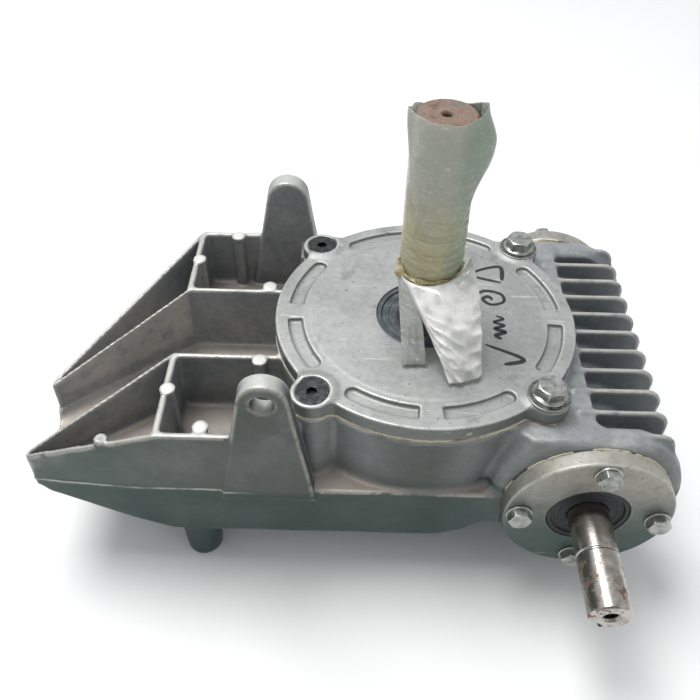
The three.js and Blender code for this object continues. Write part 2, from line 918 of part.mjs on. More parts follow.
// Half the angle that a wheel tooth fills at a radius, on an involute flank.
function toothHalfAngle(radius) {
  const pitchR = (GEAR_MODULE * WHEEL_TEETH) / 2;
  const pressure = degrees(20);
  const involute = (angle) => Math.tan(angle) - angle;
  const baseR = pitchR * Math.cos(pressure);
  const here = Math.acos(Math.min(1, baseR / radius));
  return Math.PI / (2 * WHEEL_TEETH) + involute(pressure) - involute(here) - FLANK_PLAY / radius;
}

function wheelRim() {
  const pitchR = (GEAR_MODULE * WHEEL_TEETH) / 2;
  const rootR = pitchR - 1.2 * GEAR_MODULE;
  const tipR = pitchR + GEAR_MODULE;
  const points = [];
  for (let tooth = 0; tooth < WHEEL_TEETH; tooth += 1) {
    const middle = (2 * Math.PI * tooth) / WHEEL_TEETH;
    const flank = [rootR + 0.1, pitchR, tipR];
    const rising = flank.map((r) => [r, middle - toothHalfAngle(r)]);
    const falling = flank
      .slice()
      .reverse()
      .map((r) => [r, middle + toothHalfAngle(r)]);
    [...rising, ...falling].forEach(([r, a]) => points.push([r * Math.cos(a), r * Math.sin(a)]));
  }
  const shape = polygon(points);
  const geometry = new THREE.ExtrudeGeometry(shape, {
    depth: 2 * WHEEL_HALF_FACE,
    steps: 1,
    bevelEnabled: false,
  });
  const lead = GEAR_MODULE * Math.PI * WORM_STARTS;
  const slope = lead / (2 * Math.PI * WORM_PITCH_R);
  const teeth = twisted(geometry.translate(0, 0, -WHEEL_HALF_FACE), slope / pitchR);
  const bore = solid(turned(rod(RIM_INNER_R, 0, 100), 36));
  return cut(solid(teeth.translate(0, 0, WORM_Z)), bore);
}

add("wheel_rim", wheelRim(), bronze);

add(
  "lower_spacer",
  turned(ringProfile(OUTPUT_R + GAP, 24, LOWER_BEARING_Z + BEARING_WIDTH + 2 * GAP, HUB_LOW - GAP), MEDIUM),
  shaftSteel,
);

// ---- Worm shaft ----
// A cross-section of the thread: crest, flanks and root for each start.
function wormSection() {
  const lead = GEAR_MODULE * Math.PI * WORM_STARTS;
  const halfThickness = (height) =>
    (GEAR_MODULE * Math.PI) / 4 - height * Math.tan(degrees(20)) - FLANK_PLAY;
  const angleOf = (height) => (2 * Math.PI * halfThickness(height)) / lead;
  const [crest, root] = [GEAR_MODULE, -1.2 * GEAR_MODULE];
  const points = [];
  const place = (height, angle) => {
    const r = WORM_PITCH_R + height;
    points.push([r * Math.cos(angle), r * Math.sin(angle)]);
  };
  for (let start = 0; start < WORM_STARTS; start += 1) {
    const middle = Math.PI / 2 + (2 * Math.PI * start) / WORM_STARTS;
    const heights = [root, 0, crest];
    heights.forEach((height) => place(height, middle - angleOf(height)));
    place(crest, middle);
    heights.reverse().forEach((height) => place(height, middle + angleOf(height)));
    place(root, middle + Math.PI / WORM_STARTS);
  }
  return polygon(points);
}

const WORM_HALF_LENGTH = 34;

function wormShaft() {
  const lead = GEAR_MODULE * Math.PI * WORM_STARTS;
  const turns = (2 * WORM_HALF_LENGTH) / lead;
  const thread = new THREE.ExtrudeGeometry(wormSection(), {
    depth: 2 * WORM_HALF_LENGTH,
    steps: Math.round(12 * turns),
    bevelEnabled: false,
  });
  twisted(thread.translate(0, 0, -WORM_HALF_LENGTH), (2 * Math.PI) / lead);
  thread.rotateX(-Math.PI / 2).translate(CENTRE_DISTANCE, 0, WORM_Z);
  const bearingIn = WORM_BEARING_Y - GAP;
  const profile = [
    [0, INPUT_END_Y + 16],
    [4, INPUT_END_Y + 14],
    [4, INPUT_END_Y + 1.5],
    [5.5, INPUT_END_Y],
    [INPUT_R - 1, INPUT_END_Y],
    [INPUT_R, INPUT_END_Y + 1],
    [INPUT_R, -138.6],
    [INPUT_R - 0.5, -138],
    [INPUT_R, -137.4],
    [INPUT_R, -bearingIn],
    [16, -bearingIn],
    [16, -40],
    [13.5, -38],
    [13.5, 38],
    [16, 40],
    [16, bearingIn],
    [INPUT_R, bearingIn],
    [INPUT_R, END_FACE_Y - 1.5],
    [INPUT_R - 1, END_FACE_Y - 0.5],
    [0, END_FACE_Y - 0.5],
  ];
  const core = solid(turnedOnWorm(profile, MEDIUM));
  const keyway = prism(rounded([[-4, 0], [4, 0], [4, 46], [-4, 46]], 3.9), INPUT_R - 4, INPUT_R + 3, 3);
  keyway.rotateY(degrees(-140)).translate(CENTRE_DISTANCE, INPUT_END_Y - 10, WORM_Z);
  return cut(joined(core, solid(thread)), solid(keyway));
}

add("worm_shaft", wormShaft(), shaftSteel);

// ---- Worm housing ends ----
// Pieces are drawn for the front end, and turned round for the rear end.
const INPUT_SEAL_R = 25;
const SEAL_DEPTH = 10;

function endCover(open) {
  const face = -END_COVER_Y;
  const back = -END_FACE_Y - END_GASKET;
  const spigotEnd = -WORM_BEARING_Y - WORM_BEARING.width - GAP;
  const outside = [
    [END_COVER_R - 1, face],
    [END_COVER_R, face + 1],
    [END_COVER_R, back],
    [31, back],
    [31, spigotEnd],
    [26, spigotEnd],
  ];
  const through = [
    [26, face + SEAL_DEPTH + 2],
    [20, face + SEAL_DEPTH + 2],
    [20, face + SEAL_DEPTH],
    [INPUT_SEAL_R + GAP, face + SEAL_DEPTH],
    [INPUT_SEAL_R + GAP, face + 1],
    [INPUT_SEAL_R + GAP + 0.8, face],
  ];
  const blind = [
    [26, face + 5],
    [0, face + 5],
    [0, face],
  ];
  const plate = solid(turnedOnWorm([...outside, ...(open ? through : blind)], 28));
  return cut(plate, ...endBoltHoles(4.5, face - 5, back + 2).map(solid));
}

function endGasket() {
  const ring = ringProfile(31 + GAP, END_COVER_R - 0.4, -END_FACE_Y - END_GASKET, -END_FACE_Y);
  return cut(solid(turnedOnWorm(ring, 28)), ...endBoltHoles(4.5, -END_COVER_Y, -90).map(solid));
}

// A bolt or washer that points along -Y, at one of the four bolt places.
const M8_WASHER_T = 1.6;

function endBolt() {
  const seat = END_COVER_Y + M8_WASHER_T + 2 * FACE_GAP;
  const stem = turned(
    [
      [0, 80],
      [3, 80],
      [4, 81],
      [4, seat + 2],
      [0, seat + 2],
    ],
    12,
  );
  const head = solid(hexHead(13, seat, seat + 5.4));
  return geometryOf(joined(solid(stem), head));
}

const endWasher = () => {
  const low = END_COVER_Y + FACE_GAP;
  return turned(ringProfile(4 + GAP, 8, low, low + M8_WASHER_T), COARSE);
};

const HEAD_TURNS = [10, 24, 3, 16]; // degrees each bolt head happens to stand at

function endPieces(name, side) {
  const atEnd = (shape) => {
    const geometry = shape instanceof THREE.BufferGeometry ? shape : geometryOf(shape);
    return side < 0 ? geometry : toRear(geometry);
  };
  add(`${name}_cover`, atEnd(endCover(side < 0)), castDark);
  add(`${name}_gasket`, atEnd(endGasket()), gasketPaper);
  endBoltAngles.forEach((angle, i) => {
    const [x, z] = endBoltPlace(angle);
    const facing = (geometry) => atEnd(geometry.rotateX(Math.PI / 2).translate(x, 0, z));
    add(`${name}_washer_${i + 1}`, facing(endWasher()), zincSteel);
    add(`${name}_bolt_${i + 1}`, facing(endBolt().rotateZ(degrees(HEAD_TURNS[i]))), zincSteel);
  });
}

endPieces("input", -1);
endPieces("rear", 1);

add(
  "input_seal",
  turnedOnWorm(
    sealProfile(INPUT_R + GAP, INPUT_SEAL_R, -END_COVER_Y + SEAL_DEPTH - GAP, -END_COVER_Y + 0.8),
    MEDIUM,
  ),
  sealRubber,
);

function oilPlug() {
  const [x, y, z] = PLUG_PLACE;
  const stem = solid(turned(rod(PLUG_R, y - 11, y + 1), COARSE));
  const collar = solid(turned(rod(12, y + 0.1, y + 2.6), 20));
  const head = solid(hexHead(17, y + 2, y + 8));
  const plug = geometryOf(joined(stem, collar, head));
  return plug.rotateX(-Math.PI / 2).translate(x, 0, z);
}

add("oil_plug", oilPlug(), zincSteel);

// ---- Wrapping on the output shaft ----
add("shaft_film", turned(ringProfile(OUTPUT_R + GAP, 20.5, FILM_TIE_Z + 3, OUTPUT_TOP - 3)), clearFilm);
add("film_tie", turned(ringProfile(OUTPUT_R + GAP, 21.5, FILM_TIE_Z - 3, FILM_TIE_Z + 2)), tapeBrown);

// A flat flap between four corners, given a thickness.
function flap(corners, thickness) {
  const [a, b, c, d] = corners.map((corner) => new THREE.Vector3(...corner));
  const normal = b.clone().sub(a).cross(d.clone().sub(a)).setLength(thickness);
  const box = new THREE.BoxGeometry(1, 1, 1);
  const place = box.getAttribute("position");
  for (let i = 0; i < place.count; i += 1) {
    const [u, v, w] = [place.getX(i) + 0.5, place.getY(i) + 0.5, place.getZ(i) + 0.5];
    const near = a.clone().lerp(b, u);
    const far = d.clone().lerp(c, u);
    const point = near.lerp(far, v).addScaledVector(normal, w);
    place.setXYZ(i, point.x, point.y, point.z);
  }
  return box;
}

const FLAP_FOOT = COVER_TOP + 2;
add(
  "film_tail_white",
  flap(
    [
      [10, -64.5, FLAP_FOOT],
      [31, -57, FLAP_FOOT],
      [24, -12, FILM_TIE_Z - 6],
      [-6, -20, FILM_TIE_Z - 6],
    ],
    2,
  ),
  whiteFilm,
);
add(
  "film_tail_clear",
  flap(
    [
      [-16, -49, FLAP_FOOT],
      [-2.5, -48, FLAP_FOOT],
      [-8, -19.5, FILM_TIE_Z - 6],
      [-17, -9, FILM_TIE_Z - 6],
    ],
    1.5,
  ),
  clearFilm,
);

export default gearbox;
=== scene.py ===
"""Looks for the worm gearbox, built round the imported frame.

Castings, fasteners and gaskets are grown as signed distance fields on a grid, so that their edges
are rounded and their corners filled as cast metal is. All lengths here are millimetres until a
mesh is made, which scales them to metres.
"""

import math
import random

import bmesh
import bpy
import numpy as np
import openvdb
from mathutils import Matrix, Quaternion, Vector


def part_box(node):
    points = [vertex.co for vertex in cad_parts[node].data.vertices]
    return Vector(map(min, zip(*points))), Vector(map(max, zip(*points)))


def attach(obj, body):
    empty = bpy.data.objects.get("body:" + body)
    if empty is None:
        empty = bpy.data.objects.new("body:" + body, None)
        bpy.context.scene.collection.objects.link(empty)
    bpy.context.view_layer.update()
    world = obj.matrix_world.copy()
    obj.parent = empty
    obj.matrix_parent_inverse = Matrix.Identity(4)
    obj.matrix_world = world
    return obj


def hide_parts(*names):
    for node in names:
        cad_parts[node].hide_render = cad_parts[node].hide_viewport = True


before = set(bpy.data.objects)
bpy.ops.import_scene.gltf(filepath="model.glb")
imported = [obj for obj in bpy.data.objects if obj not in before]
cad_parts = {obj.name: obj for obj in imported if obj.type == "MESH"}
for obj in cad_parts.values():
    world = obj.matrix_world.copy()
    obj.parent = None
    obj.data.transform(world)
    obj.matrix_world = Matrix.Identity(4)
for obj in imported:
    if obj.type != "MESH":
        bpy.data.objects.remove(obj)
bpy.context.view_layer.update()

MM = 0.001
FAR = 9.0  # distances are kept only this near a surface
SEED = 7
FINE = (("crevice", 4.0), ("edge", 1.6))  # how far round a point each attribute looks
FINEST = (("crevice", 1.2), ("edge", 0.7))


def mm_box(node):
    """Lowest and highest corner of a CAD node, in millimetres."""
    return [np.array(corner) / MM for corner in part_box(node)]


# ---- Driving dimensions, as in the CAD source, and read from the frame where a node holds them ----
COVER_LOW, COVER_HIGH = mm_box("main_cover")
COVER_TOP = COVER_HIGH[2]
GASKET_LOW, GASKET_HIGH = mm_box("cover_gasket")
FLANGE_TOP, COVER_BOTTOM = GASKET_LOW[2], GASKET_HIGH[2]
SCREWS = [(x, y) for x in (-70.0, 70.0) for y in (-70.0, 70.0)]
SCREW_HOLE_R = 5.3
COVER_R = 97.5
LOBE_R = 13.5
BOWL_R = 95.0
CAVITY_R = 89.0
FLOOR_TOP = 8.0

HOUSING_LOW, HOUSING_HIGH = mm_box("housing")
SIDE_Y = 98.0
PARTING_Z = 48.0
RIM_Z = 98.5
WALL = 4.0
ARM_X = -160.0
NOSE_X = HOUSING_LOW[0]
FRONT_NOSE_Y, REAR_NOSE_Y = -93.0, -30.5
FRONT_APEX, REAR_APEX = (-250.5, -92.5), (-253.0, -44.0)
WEDGE_WALL = 2.6
ARM_END_X = -77.0
NOSE_RIM_Z = 69.0
GAP_FRONT_Y, GAP_REAR_Y = -29.0, 30.0
POCKET_FLOOR = 54.0
GAP_FLOOR = 42.0
TRAY_RIGHT = 75.0
LUG_X, LUG_R = -95.5, 14.8
FRONT_LUG_Z, REAR_LUG_Z = 129.4, 131.4

WORM_LINE = WORM_X, WORM_Z = 100.0, 46.0
DECK_Z = 97.0
FIN_COUNT, FIN_PITCH, FIN_THICKNESS, FIN_TOP, FIN_X = 11, 17.5, 3.0, 98.0, 146.5
END_FACE_Y = 98.0
END_GASKET = 0.8
END_COVER_Y = 110.0
END_COVER_R = 52.0
END_BOLT_CIRCLE_R = 42.7
END_BOLT_TURN = -2.5
END_BORE_R = 31.3
END_HOLE_R = 4.5
FOOT_BOTTOM = HOUSING_LOW[2]
OIL_PLUG_X, _, OIL_PLUG_Z = sum(mm_box("oil_plug")) / 2


# ---- Distance fields ----
def polygon_distance(points, u, v):
    """Signed distance from a closed outline, below zero inside it."""
    shape = np.broadcast(u, v).shape
    square = np.full(shape, 1e9, np.float32)
    inside = np.zeros(shape, bool)
    for (x0, y0), (x1, y1) in zip(points, points[1:] + points[:1]):
        ex, ey = x1 - x0, y1 - y0
        wx, wy = u - x0, v - y0
        along = np.clip((wx * ex + wy * ey) / (ex * ex + ey * ey), 0, 1)
        np.minimum(square, (wx - ex * along) ** 2 + (wy - ey * along) ** 2, out=square)
        if ey:
            inside ^= ((y0 <= v) != (y1 <= v)) & (u < x0 + ex * (v - y0) / ey)
    return np.where(inside, -1, 1) * np.sqrt(square)


def join(a, b, fillet=0.0):
    """Both solids, with a fillet of that radius where they meet."""
    if not fillet:
        return np.minimum(a, b)
    near_a, near_b = np.maximum(fillet - a, 0), np.maximum(fillet - b, 0)
    return np.maximum(fillet, np.minimum(a, b)) - np.hypot(near_a, near_b)


def meet(a, b, edge=0.0):
    """What two solids share, with its edge rounded to that radius."""
    return -join(-a, -b, edge)


def between(value, low, high):
    return np.maximum(low - value, value - high)


def arc(u, v, radius, first, last, step):
    """Points round a centre from one angle to another, in degrees."""
    turns = [math.radians(a) for a in range(first, last + 1, step)]
    return [(u + radius * math.cos(a), v + radius * math.sin(a)) for a in turns]


class Shape:
    """A distance function of X, Y and Z with the box that it fills."""

    def __init__(self, distance, low, high):
        self.distance = distance
        self.low = np.array(low, float)
        self.high = np.array(high, float)


def prism(points, low, high, edge=0.0, draft=0.0, swell=0.0):
    """An outline in X and Y from one height to another. Draft narrows it upwards by that slope."""
    xs, ys = zip(*points)

    def distance(x, y, z):
        side = polygon_distance(points, x, y) - swell + draft * (z - low)
        return meet(side, between(z, low, high), edge)

    corner = (min(xs) - swell, min(ys) - swell, low)
    return Shape(distance, corner, (max(xs) + swell, max(ys) + swell, high))


def slab(points, front, back, edge=0.0):
    """An outline in X and Z from one Y to another."""
    xs, zs = zip(*points)

    def distance(x, y, z):
        return meet(polygon_distance(points, x, z), between(y, front, back), edge)

    return Shape(distance, (min(xs), front, min(zs)), (max(xs), back, max(zs)))


def post(x0, y0, radius, low, high, edge=0.0):
    """A round post along Z."""

    def distance(x, y, z):
        return meet(np.hypot(x - x0, y - y0) - radius, between(z, low, high), edge)

    return Shape(distance, (x0 - radius, y0 - radius, low), (x0 + radius, y0 + radius, high))


def rod(x0, z0, radius, front, back, edge=0.0):
    """A round rod along Y."""

    def distance(x, y, z):
        return meet(np.hypot(x - x0, z - z0) - radius, between(y, front, back), edge)

    return Shape(distance, (x0 - radius, front, z0 - radius), (x0 + radius, back, z0 + radius))


def turned_on_z(profile, x0=0.0, y0=0.0):
    """A closed profile of [radius, height] turned about a line along Z."""
    radii, heights = zip(*profile)
    wide = max(radii)

    def distance(x, y, z):
        return polygon_distance(profile, np.hypot(x - x0, y - y0), z)

    low, high = (x0 - wide, y0 - wide, min(heights)), (x0 + wide, y0 + wide, max(heights))
    return Shape(distance, low, high)


def turned_on_y(profile, x0=WORM_X, z0=WORM_Z):
    """A closed profile of [radius, y] turned about a line along Y."""
    radii, places = zip(*profile)
    wide = max(radii)

    def distance(x, y, z):
        return polygon_distance(profile, np.hypot(x - x0, z - z0), y)

    return Shape(distance, (x0 - wide, min(places), z0 - wide), (x0 + wide, max(places), z0 + wide))


def worm_rod(radius, front, back, edge=0.0):
    return rod(*WORM_LINE, radius, front, back, edge)


def worm_region(radius, front, back):
    """Lowest and highest corner of the space round a piece on the worm's line."""
    return (WORM_X - radius, front, WORM_Z - radius), (WORM_X + radius, back, WORM_Z + radius)


class Solid:
    """A signed distance field on a regular grid: below zero inside the material."""

    REACH = 8.0  # how far outside its box a shape still shapes the field, for fillets

    def __init__(self, low, high, step):
        self.low = np.array(low, float)
        self.step = step
        counts = np.ceil((np.array(high) - self.low) / step).astype(int) + 1
        self.axes = [(low + step * np.arange(n)).astype(np.float32) for low, n in zip(self.low, counts)]
        self.field = np.full(counts, FAR, np.float32)

    def window(self, shape):
        """The grid's part round a shape, as slices and as X, Y and Z."""
        low, high = shape.low - self.REACH, shape.high + self.REACH
        spans = tuple(slice(*np.searchsorted(axis, [a, b])) for axis, a, b in zip(self.axes, low, high))
        axes = [axis[span] for axis, span in zip(self.axes, spans)]
        return spans, np.meshgrid(*axes, indexing="ij", sparse=True)

    def add(self, shape, fillet=0.0):
        spans, grids = self.window(shape)
        self.field[spans] = join(self.field[spans], shape.distance(*grids), fillet)

    def cut(self, shape, edge=0.0):
        spans, grids = self.window(shape)
        self.field[spans] = meet(self.field[spans], -shape.distance(*grids), edge)

    def grids(self):
        """X, Y and Z of the grid's points, each along its own axis."""
        return np.meshgrid(*self.axes, indexing="ij", sparse=True)

    def thicken(self, amount):
        """Moves the surface out by an amount that varies from place to place."""
        self.field -= amount.astype(np.float32)

    def keep(self, distance):
        """Keeps only what lies inside a distance field."""
        self.field = meet(self.field, distance).astype(np.float32)

    def fullness(self, radius):
        """The share of metal within a box of that radius: low on edges, high in corners."""
        metal = np.clip(0.5 - self.field / self.step, 0, 1)
        reach = max(1, round(radius / self.step))
        for axis in range(3):
            margin = [(reach + 1, reach) if k == axis else (0, 0) for k in range(3)]
            total = np.cumsum(np.pad(metal, margin), axis=axis, dtype=np.float32)
            count = metal.shape[axis]
            ahead = np.take(total, range(2 * reach + 1, 2 * reach + 1 + count), axis=axis)
            behind = np.take(total, range(count), axis=axis)
            metal = (ahead - behind) / (2 * reach + 1)
        return metal

    def sample(self, values, points):
        """A grid's values at points in millimetres, blended from the eight grid points around."""
        place = (points - self.low) / self.step
        base = np.clip(np.floor(place).astype(int), 0, np.array(values.shape) - 2)
        share = np.clip(place - base, 0, 1)
        total = np.zeros(len(points))
        for corner in np.ndindex(2, 2, 2):
            weight = np.prod(np.where(corner, share, 1 - share), axis=1)
            total += weight * values[tuple((base + corner).T)]
        return total

    def mesh(self, name, blur=(("crevice", 7.0), ("edge", 2.4))):
        """The surface as a Blender mesh, with the fullness round each point as attributes."""
        grid = openvdb.FloatGrid(FAR)
        grid.copyFromArray(np.clip(self.field, -FAR, FAR).astype(np.float32), tolerance=1e-4)
        points, quads = grid.convertToQuads(0.0)
        places = points * self.step + self.low
        mesh = bpy.data.meshes.new(name)
        mesh.vertices.add(len(places))
        mesh.vertices.foreach_set("co", (places * MM).astype(np.float32).ravel())
        mesh.loops.add(quads.size)
        mesh.loops.foreach_set("vertex_index", quads[:, ::-1].astype(np.int32).ravel())
        mesh.polygons.add(len(quads))
        mesh.polygons.foreach_set("loop_start", np.arange(0, quads.size, 4, dtype=np.int32))
        mesh.update(calc_edges=True)
        mesh.validate()
        mesh.shade_smooth()
        for attribute, radius in blur:
            values = self.sample(self.fullness(radius), places)
            layer = mesh.attributes.new(attribute, "FLOAT", "POINT")
            layer.data.foreach_set("value", values.astype(np.float32))
        return mesh


# ---- Pieces ----
def shown(name, data):
    """A new object in the scene."""
    thing = bpy.data.objects.new(name, data)
    bpy.context.scene.collection.objects.link(thing)
    return thing


def piece(name, mesh, body, slot, material, *replaced):
    """Shows a mesh as a piece that rides on a body and stands for CAD nodes."""
    thing = shown(name, mesh)
    mesh.materials.clear()
    mesh.materials.append(material)
    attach(thing, body)
    if replaced:
        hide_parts(*replaced)
    return thing


# ---- Housing ----
TRAY_PLAN = [
    (NOSE_X, FRONT_NOSE_Y), (-183, -97.6), (ARM_X, -SIDE_Y), (TRAY_RIGHT, -SIDE_Y),
    (TRAY_RIGHT, SIDE_Y), (ARM_X, SIDE_Y), (NOSE_X, REAR_NOSE_Y),
]
TRAY_SIDE = [
    (NOSE_X - 8, PARTING_Z + 8), (NOSE_X - 2, PARTING_Z), (-242.5, 39.5), (-237, 33), (-162, 0),
    (12, 0), (27, 6), (40, 16), (53, 19), (TRAY_RIGHT + 8, 19), (TRAY_RIGHT + 8, PARTING_Z + 8),
]
FRONT_ARM = [
    FRONT_APEX, (-183, -97.6), (ARM_X, -SIDE_Y), (ARM_END_X, -SIDE_Y), (ARM_END_X, GAP_FRONT_Y),
    (ARM_X, GAP_FRONT_Y),
]
REAR_ARM = [
    REAR_APEX, (ARM_X, GAP_REAR_Y), (ARM_END_X, GAP_REAR_Y), (ARM_END_X, SIDE_Y), (ARM_X, SIDE_Y),
]
EJECTOR_POSTS = [
    (-158.6, -60.7), (-134.2, -90), (-105.2, -35), (-158, 64.4), (-133.3, 92.6), (-104.8, 36.4),
]
NOSE_POST = (-194, -92.5)
FEET = [(-146.5, -84), (-146.5, 84), (132, -84), (132, 84)]


def inset(points, distance):
    """A convex outline, anticlockwise, moved in on every side."""
    lines = []
    for (x0, y0), (x1, y1) in zip(points, points[1:] + points[:1]):
        along = Vector((x1 - x0, y1 - y0)).normalized()
        lines.append((Vector((x0, y0)) + distance * Vector((-along.y, along.x)), along))
    corners = []
    for (before, a), (at, b) in zip(lines[-1:] + lines[:-1], lines):
        reach = (at - before).cross(b) / a.cross(b)
        corners.append(tuple(before + a * reach))
    return corners


def rim_height(x):
    """Height of the arm walls: level over the square cells, then down to the nose."""
    slope = (RIM_Z - NOSE_RIM_Z + 3.5) / (ARM_X - NOSE_X + 10)
    return np.where(x > ARM_X, RIM_Z, RIM_Z + slope * (x - ARM_X))


def grow_tray(solid):
    solid.add(prism(TRAY_PLAN, -5, PARTING_Z))
    spans, grids = solid.window(prism(TRAY_PLAN, -10, PARTING_Z))
    side = polygon_distance(TRAY_SIDE, grids[0], grids[2])
    solid.field[spans] = meet(solid.field[spans], side, 3.0)


def grow_arms(solid):
    for plan in (FRONT_ARM, REAR_ARM):
        walls = prism(plan, PARTING_Z - 8, RIM_Z)

        def sloped(x, y, z, walls=walls):
            trimmed = meet(walls.distance(x, y, z), NOSE_X - x, 2.0)
            return meet(trimmed, z - rim_height(x), 0.8)

        solid.add(Shape(sloped, walls.low, walls.high))


def cut_pockets(solid):
    web = WALL / 2
    wedge_end, square_end, bowl_end = ARM_X + WEDGE_WALL - web, ARM_X - web, -60
    wedges = [
        [FRONT_APEX, (wedge_end, -SIDE_Y), (wedge_end, GAP_FRONT_Y)],
        [REAR_APEX, (wedge_end, GAP_REAR_Y), (wedge_end, SIDE_Y)],
    ]
    squares = [
        [(square_end, y0), (bowl_end, y0), (bowl_end, y1), (square_end, y1)]
        for y0, y1 in ((-SIDE_Y, GAP_FRONT_Y), (GAP_REAR_Y, SIDE_Y))
    ]
    for cells, wall, corner in ((wedges, WEDGE_WALL, 0.5), (squares, WALL, 3.5)):
        for cell in cells:
            outline = inset(cell, wall + corner)
            solid.cut(prism(outline, POCKET_FLOOR, 135, 4.0, 0.0, corner), 0.7)


def cut_arm_gap(solid):
    fillet = 11.0
    plan = [
        FRONT_APEX, (ARM_X, GAP_FRONT_Y), (-60, GAP_FRONT_Y), (-60, GAP_REAR_Y),
        (ARM_X, GAP_REAR_Y), REAR_APEX,
    ]
    solid.cut(prism(plan, GAP_FLOOR, 135, fillet), 1.2)


def cut_underside(solid):
    left, right, top = -222, -101, GAP_FLOOR - WALL
    bands = [(-SIDE_Y, GAP_FRONT_Y + 2), (GAP_FRONT_Y - 2, GAP_REAR_Y + 2), (GAP_REAR_Y - 2, SIDE_Y)]
    end = right + WALL
    left_side, right_side = [(NOSE_X, FRONT_NOSE_Y), (ARM_X, -SIDE_Y)], [(end, -SIDE_Y), (end, SIDE_Y)]
    around = inset(left_side + right_side + [(ARM_X, SIDE_Y), (NOSE_X, REAR_NOSE_Y)], WALL)
    for front, back in bands:
        band = inset([(left, front), (end, front), (end, back), (left, back)], WALL)

        def hollow(x, y, z, band=band):
            plan = meet(polygon_distance(band, x, y), polygon_distance(around, x, y), 3.0)
            return meet(plan, between(z, -12, top), 4.0)

        solid.cut(Shape(hollow, (left, front, -12), (right, back, top)), 1.5)


def grow_posts(solid):
    for x, y in EJECTOR_POSTS:
        solid.add(post(x, y, 4.1, POCKET_FLOOR - 2, RIM_Z, 0.5), 1.5)
        solid.add(post(x, y, 5.0, RIM_Z - 1.6, RIM_Z + 0.6, 0.5), 0.5)
    solid.add(post(*NOSE_POST, 3.2, POCKET_FLOOR - 2, 88, 0.5), 1.0)
    solid.add(post(*NOSE_POST, 4.3, 86.6, 88.6, 0.5), 0.5)


def lug_outline(centre_z):
    bottom_z = 39.0
    return [(-126.7, bottom_z), (-67, bottom_z)] + arc(LUG_X, centre_z, LUG_R, 12, 172, 8)


def grow_lugs(solid):
    """The two lugs, a web from the front one to the bowl, and the front one's hole."""
    solid.add(slab(lug_outline(FRONT_LUG_Z), -100, -88, 1.6), 1.5)
    solid.add(slab(lug_outline(REAR_LUG_Z), 91, 104.5, 1.6), 1.5)
    web = [(-83.5, -96), (-76.5, -96), (-78, -88), (-84, -88)]
    solid.add(prism(web, 92, FLANGE_TOP - 0.6, 0.0, 0.2), 0.8)
    hole_r = 6.8
    solid.cut(rod(LUG_X, FRONT_LUG_Z, hole_r, -110, -80), 1.6)


def grow_bowl(solid):
    solid.add(post(0, 0, BOWL_R, GAP_FLOOR - 4, FLANGE_TOP), 5.0)
    solid.add(post(0, 0, COVER_R, FLANGE_TOP - 5, FLANGE_TOP, 0.6), 2.0)
    for x, y in SCREWS:
        solid.add(post(x, y, LOBE_R, PARTING_Z - 8, FLANGE_TOP, 0.6), 4.0)
    for front, back in ((-97, -75), (75, 97)):
        filler = [(-86, front), (ARM_END_X, front), (ARM_END_X, back), (-86, back)]
        solid.add(prism(filler, PARTING_Z - 8, RIM_Z - 4), 2.0)
    solid.add(post(0, 0, 43, 0, PARTING_Z, 2.0), 4.0)


def bulge_profile(side):
    profile = [(0, 98), (END_COVER_R + 0.5, 98), (56, 96.5), (59, 93), (60, 88), (59, 84), (56, 81)]
    return [(r, side * y) for r, y in profile + [(0, 79)]]


def grow_worm_housing(solid):
    solid.add(worm_rod(40.0, -END_FACE_Y + 6, END_FACE_Y - 6), 5.0)
    deck = [(40, -76), (60, -93), (WORM_X, -93), (WORM_X, 93), (60, 93), (40, 76)]
    solid.add(prism(deck, PARTING_Z - 14, DECK_Z, 1.5), 5.0)
    for side in (-1, 1):
        bulge = turned_on_y(bulge_profile(side))

        def level(x, y, z, bulge=bulge):
            return meet(bulge.distance(x, y, z), z - FIN_TOP, 4.0)

        solid.add(Shape(level, bulge.low, bulge.high), 6.0)


def fin_outline():
    corner, foot = 11.5, 2 * WORM_Z - FIN_TOP
    low = arc(FIN_X - corner, foot + corner, corner, -90, 0, 15)
    high = arc(FIN_X - corner, FIN_TOP - corner, corner, 0, 90, 15)
    return [(90, FIN_TOP), (90, foot)] + low + high


def grow_fins(solid):
    outline = fin_outline()
    first = -FIN_PITCH * (FIN_COUNT - 1) / 2
    for i in range(FIN_COUNT):
        y = first + i * FIN_PITCH
        solid.add(slab(outline, y - FIN_THICKNESS / 2, y + FIN_THICKNESS / 2, 0.9), 3.0)


def grow_feet(solid):
    for x, y in FEET:
        root = 30 if x < 0 else 8
        profile = [
            (0, FOOT_BOTTOM), (10.6, FOOT_BOTTOM), (11.8, FOOT_BOTTOM + 1.2), (13.6, 0),
            (13.6, root), (0, root),
        ]
        solid.add(turned_on_z(profile, x, y), 3.0)


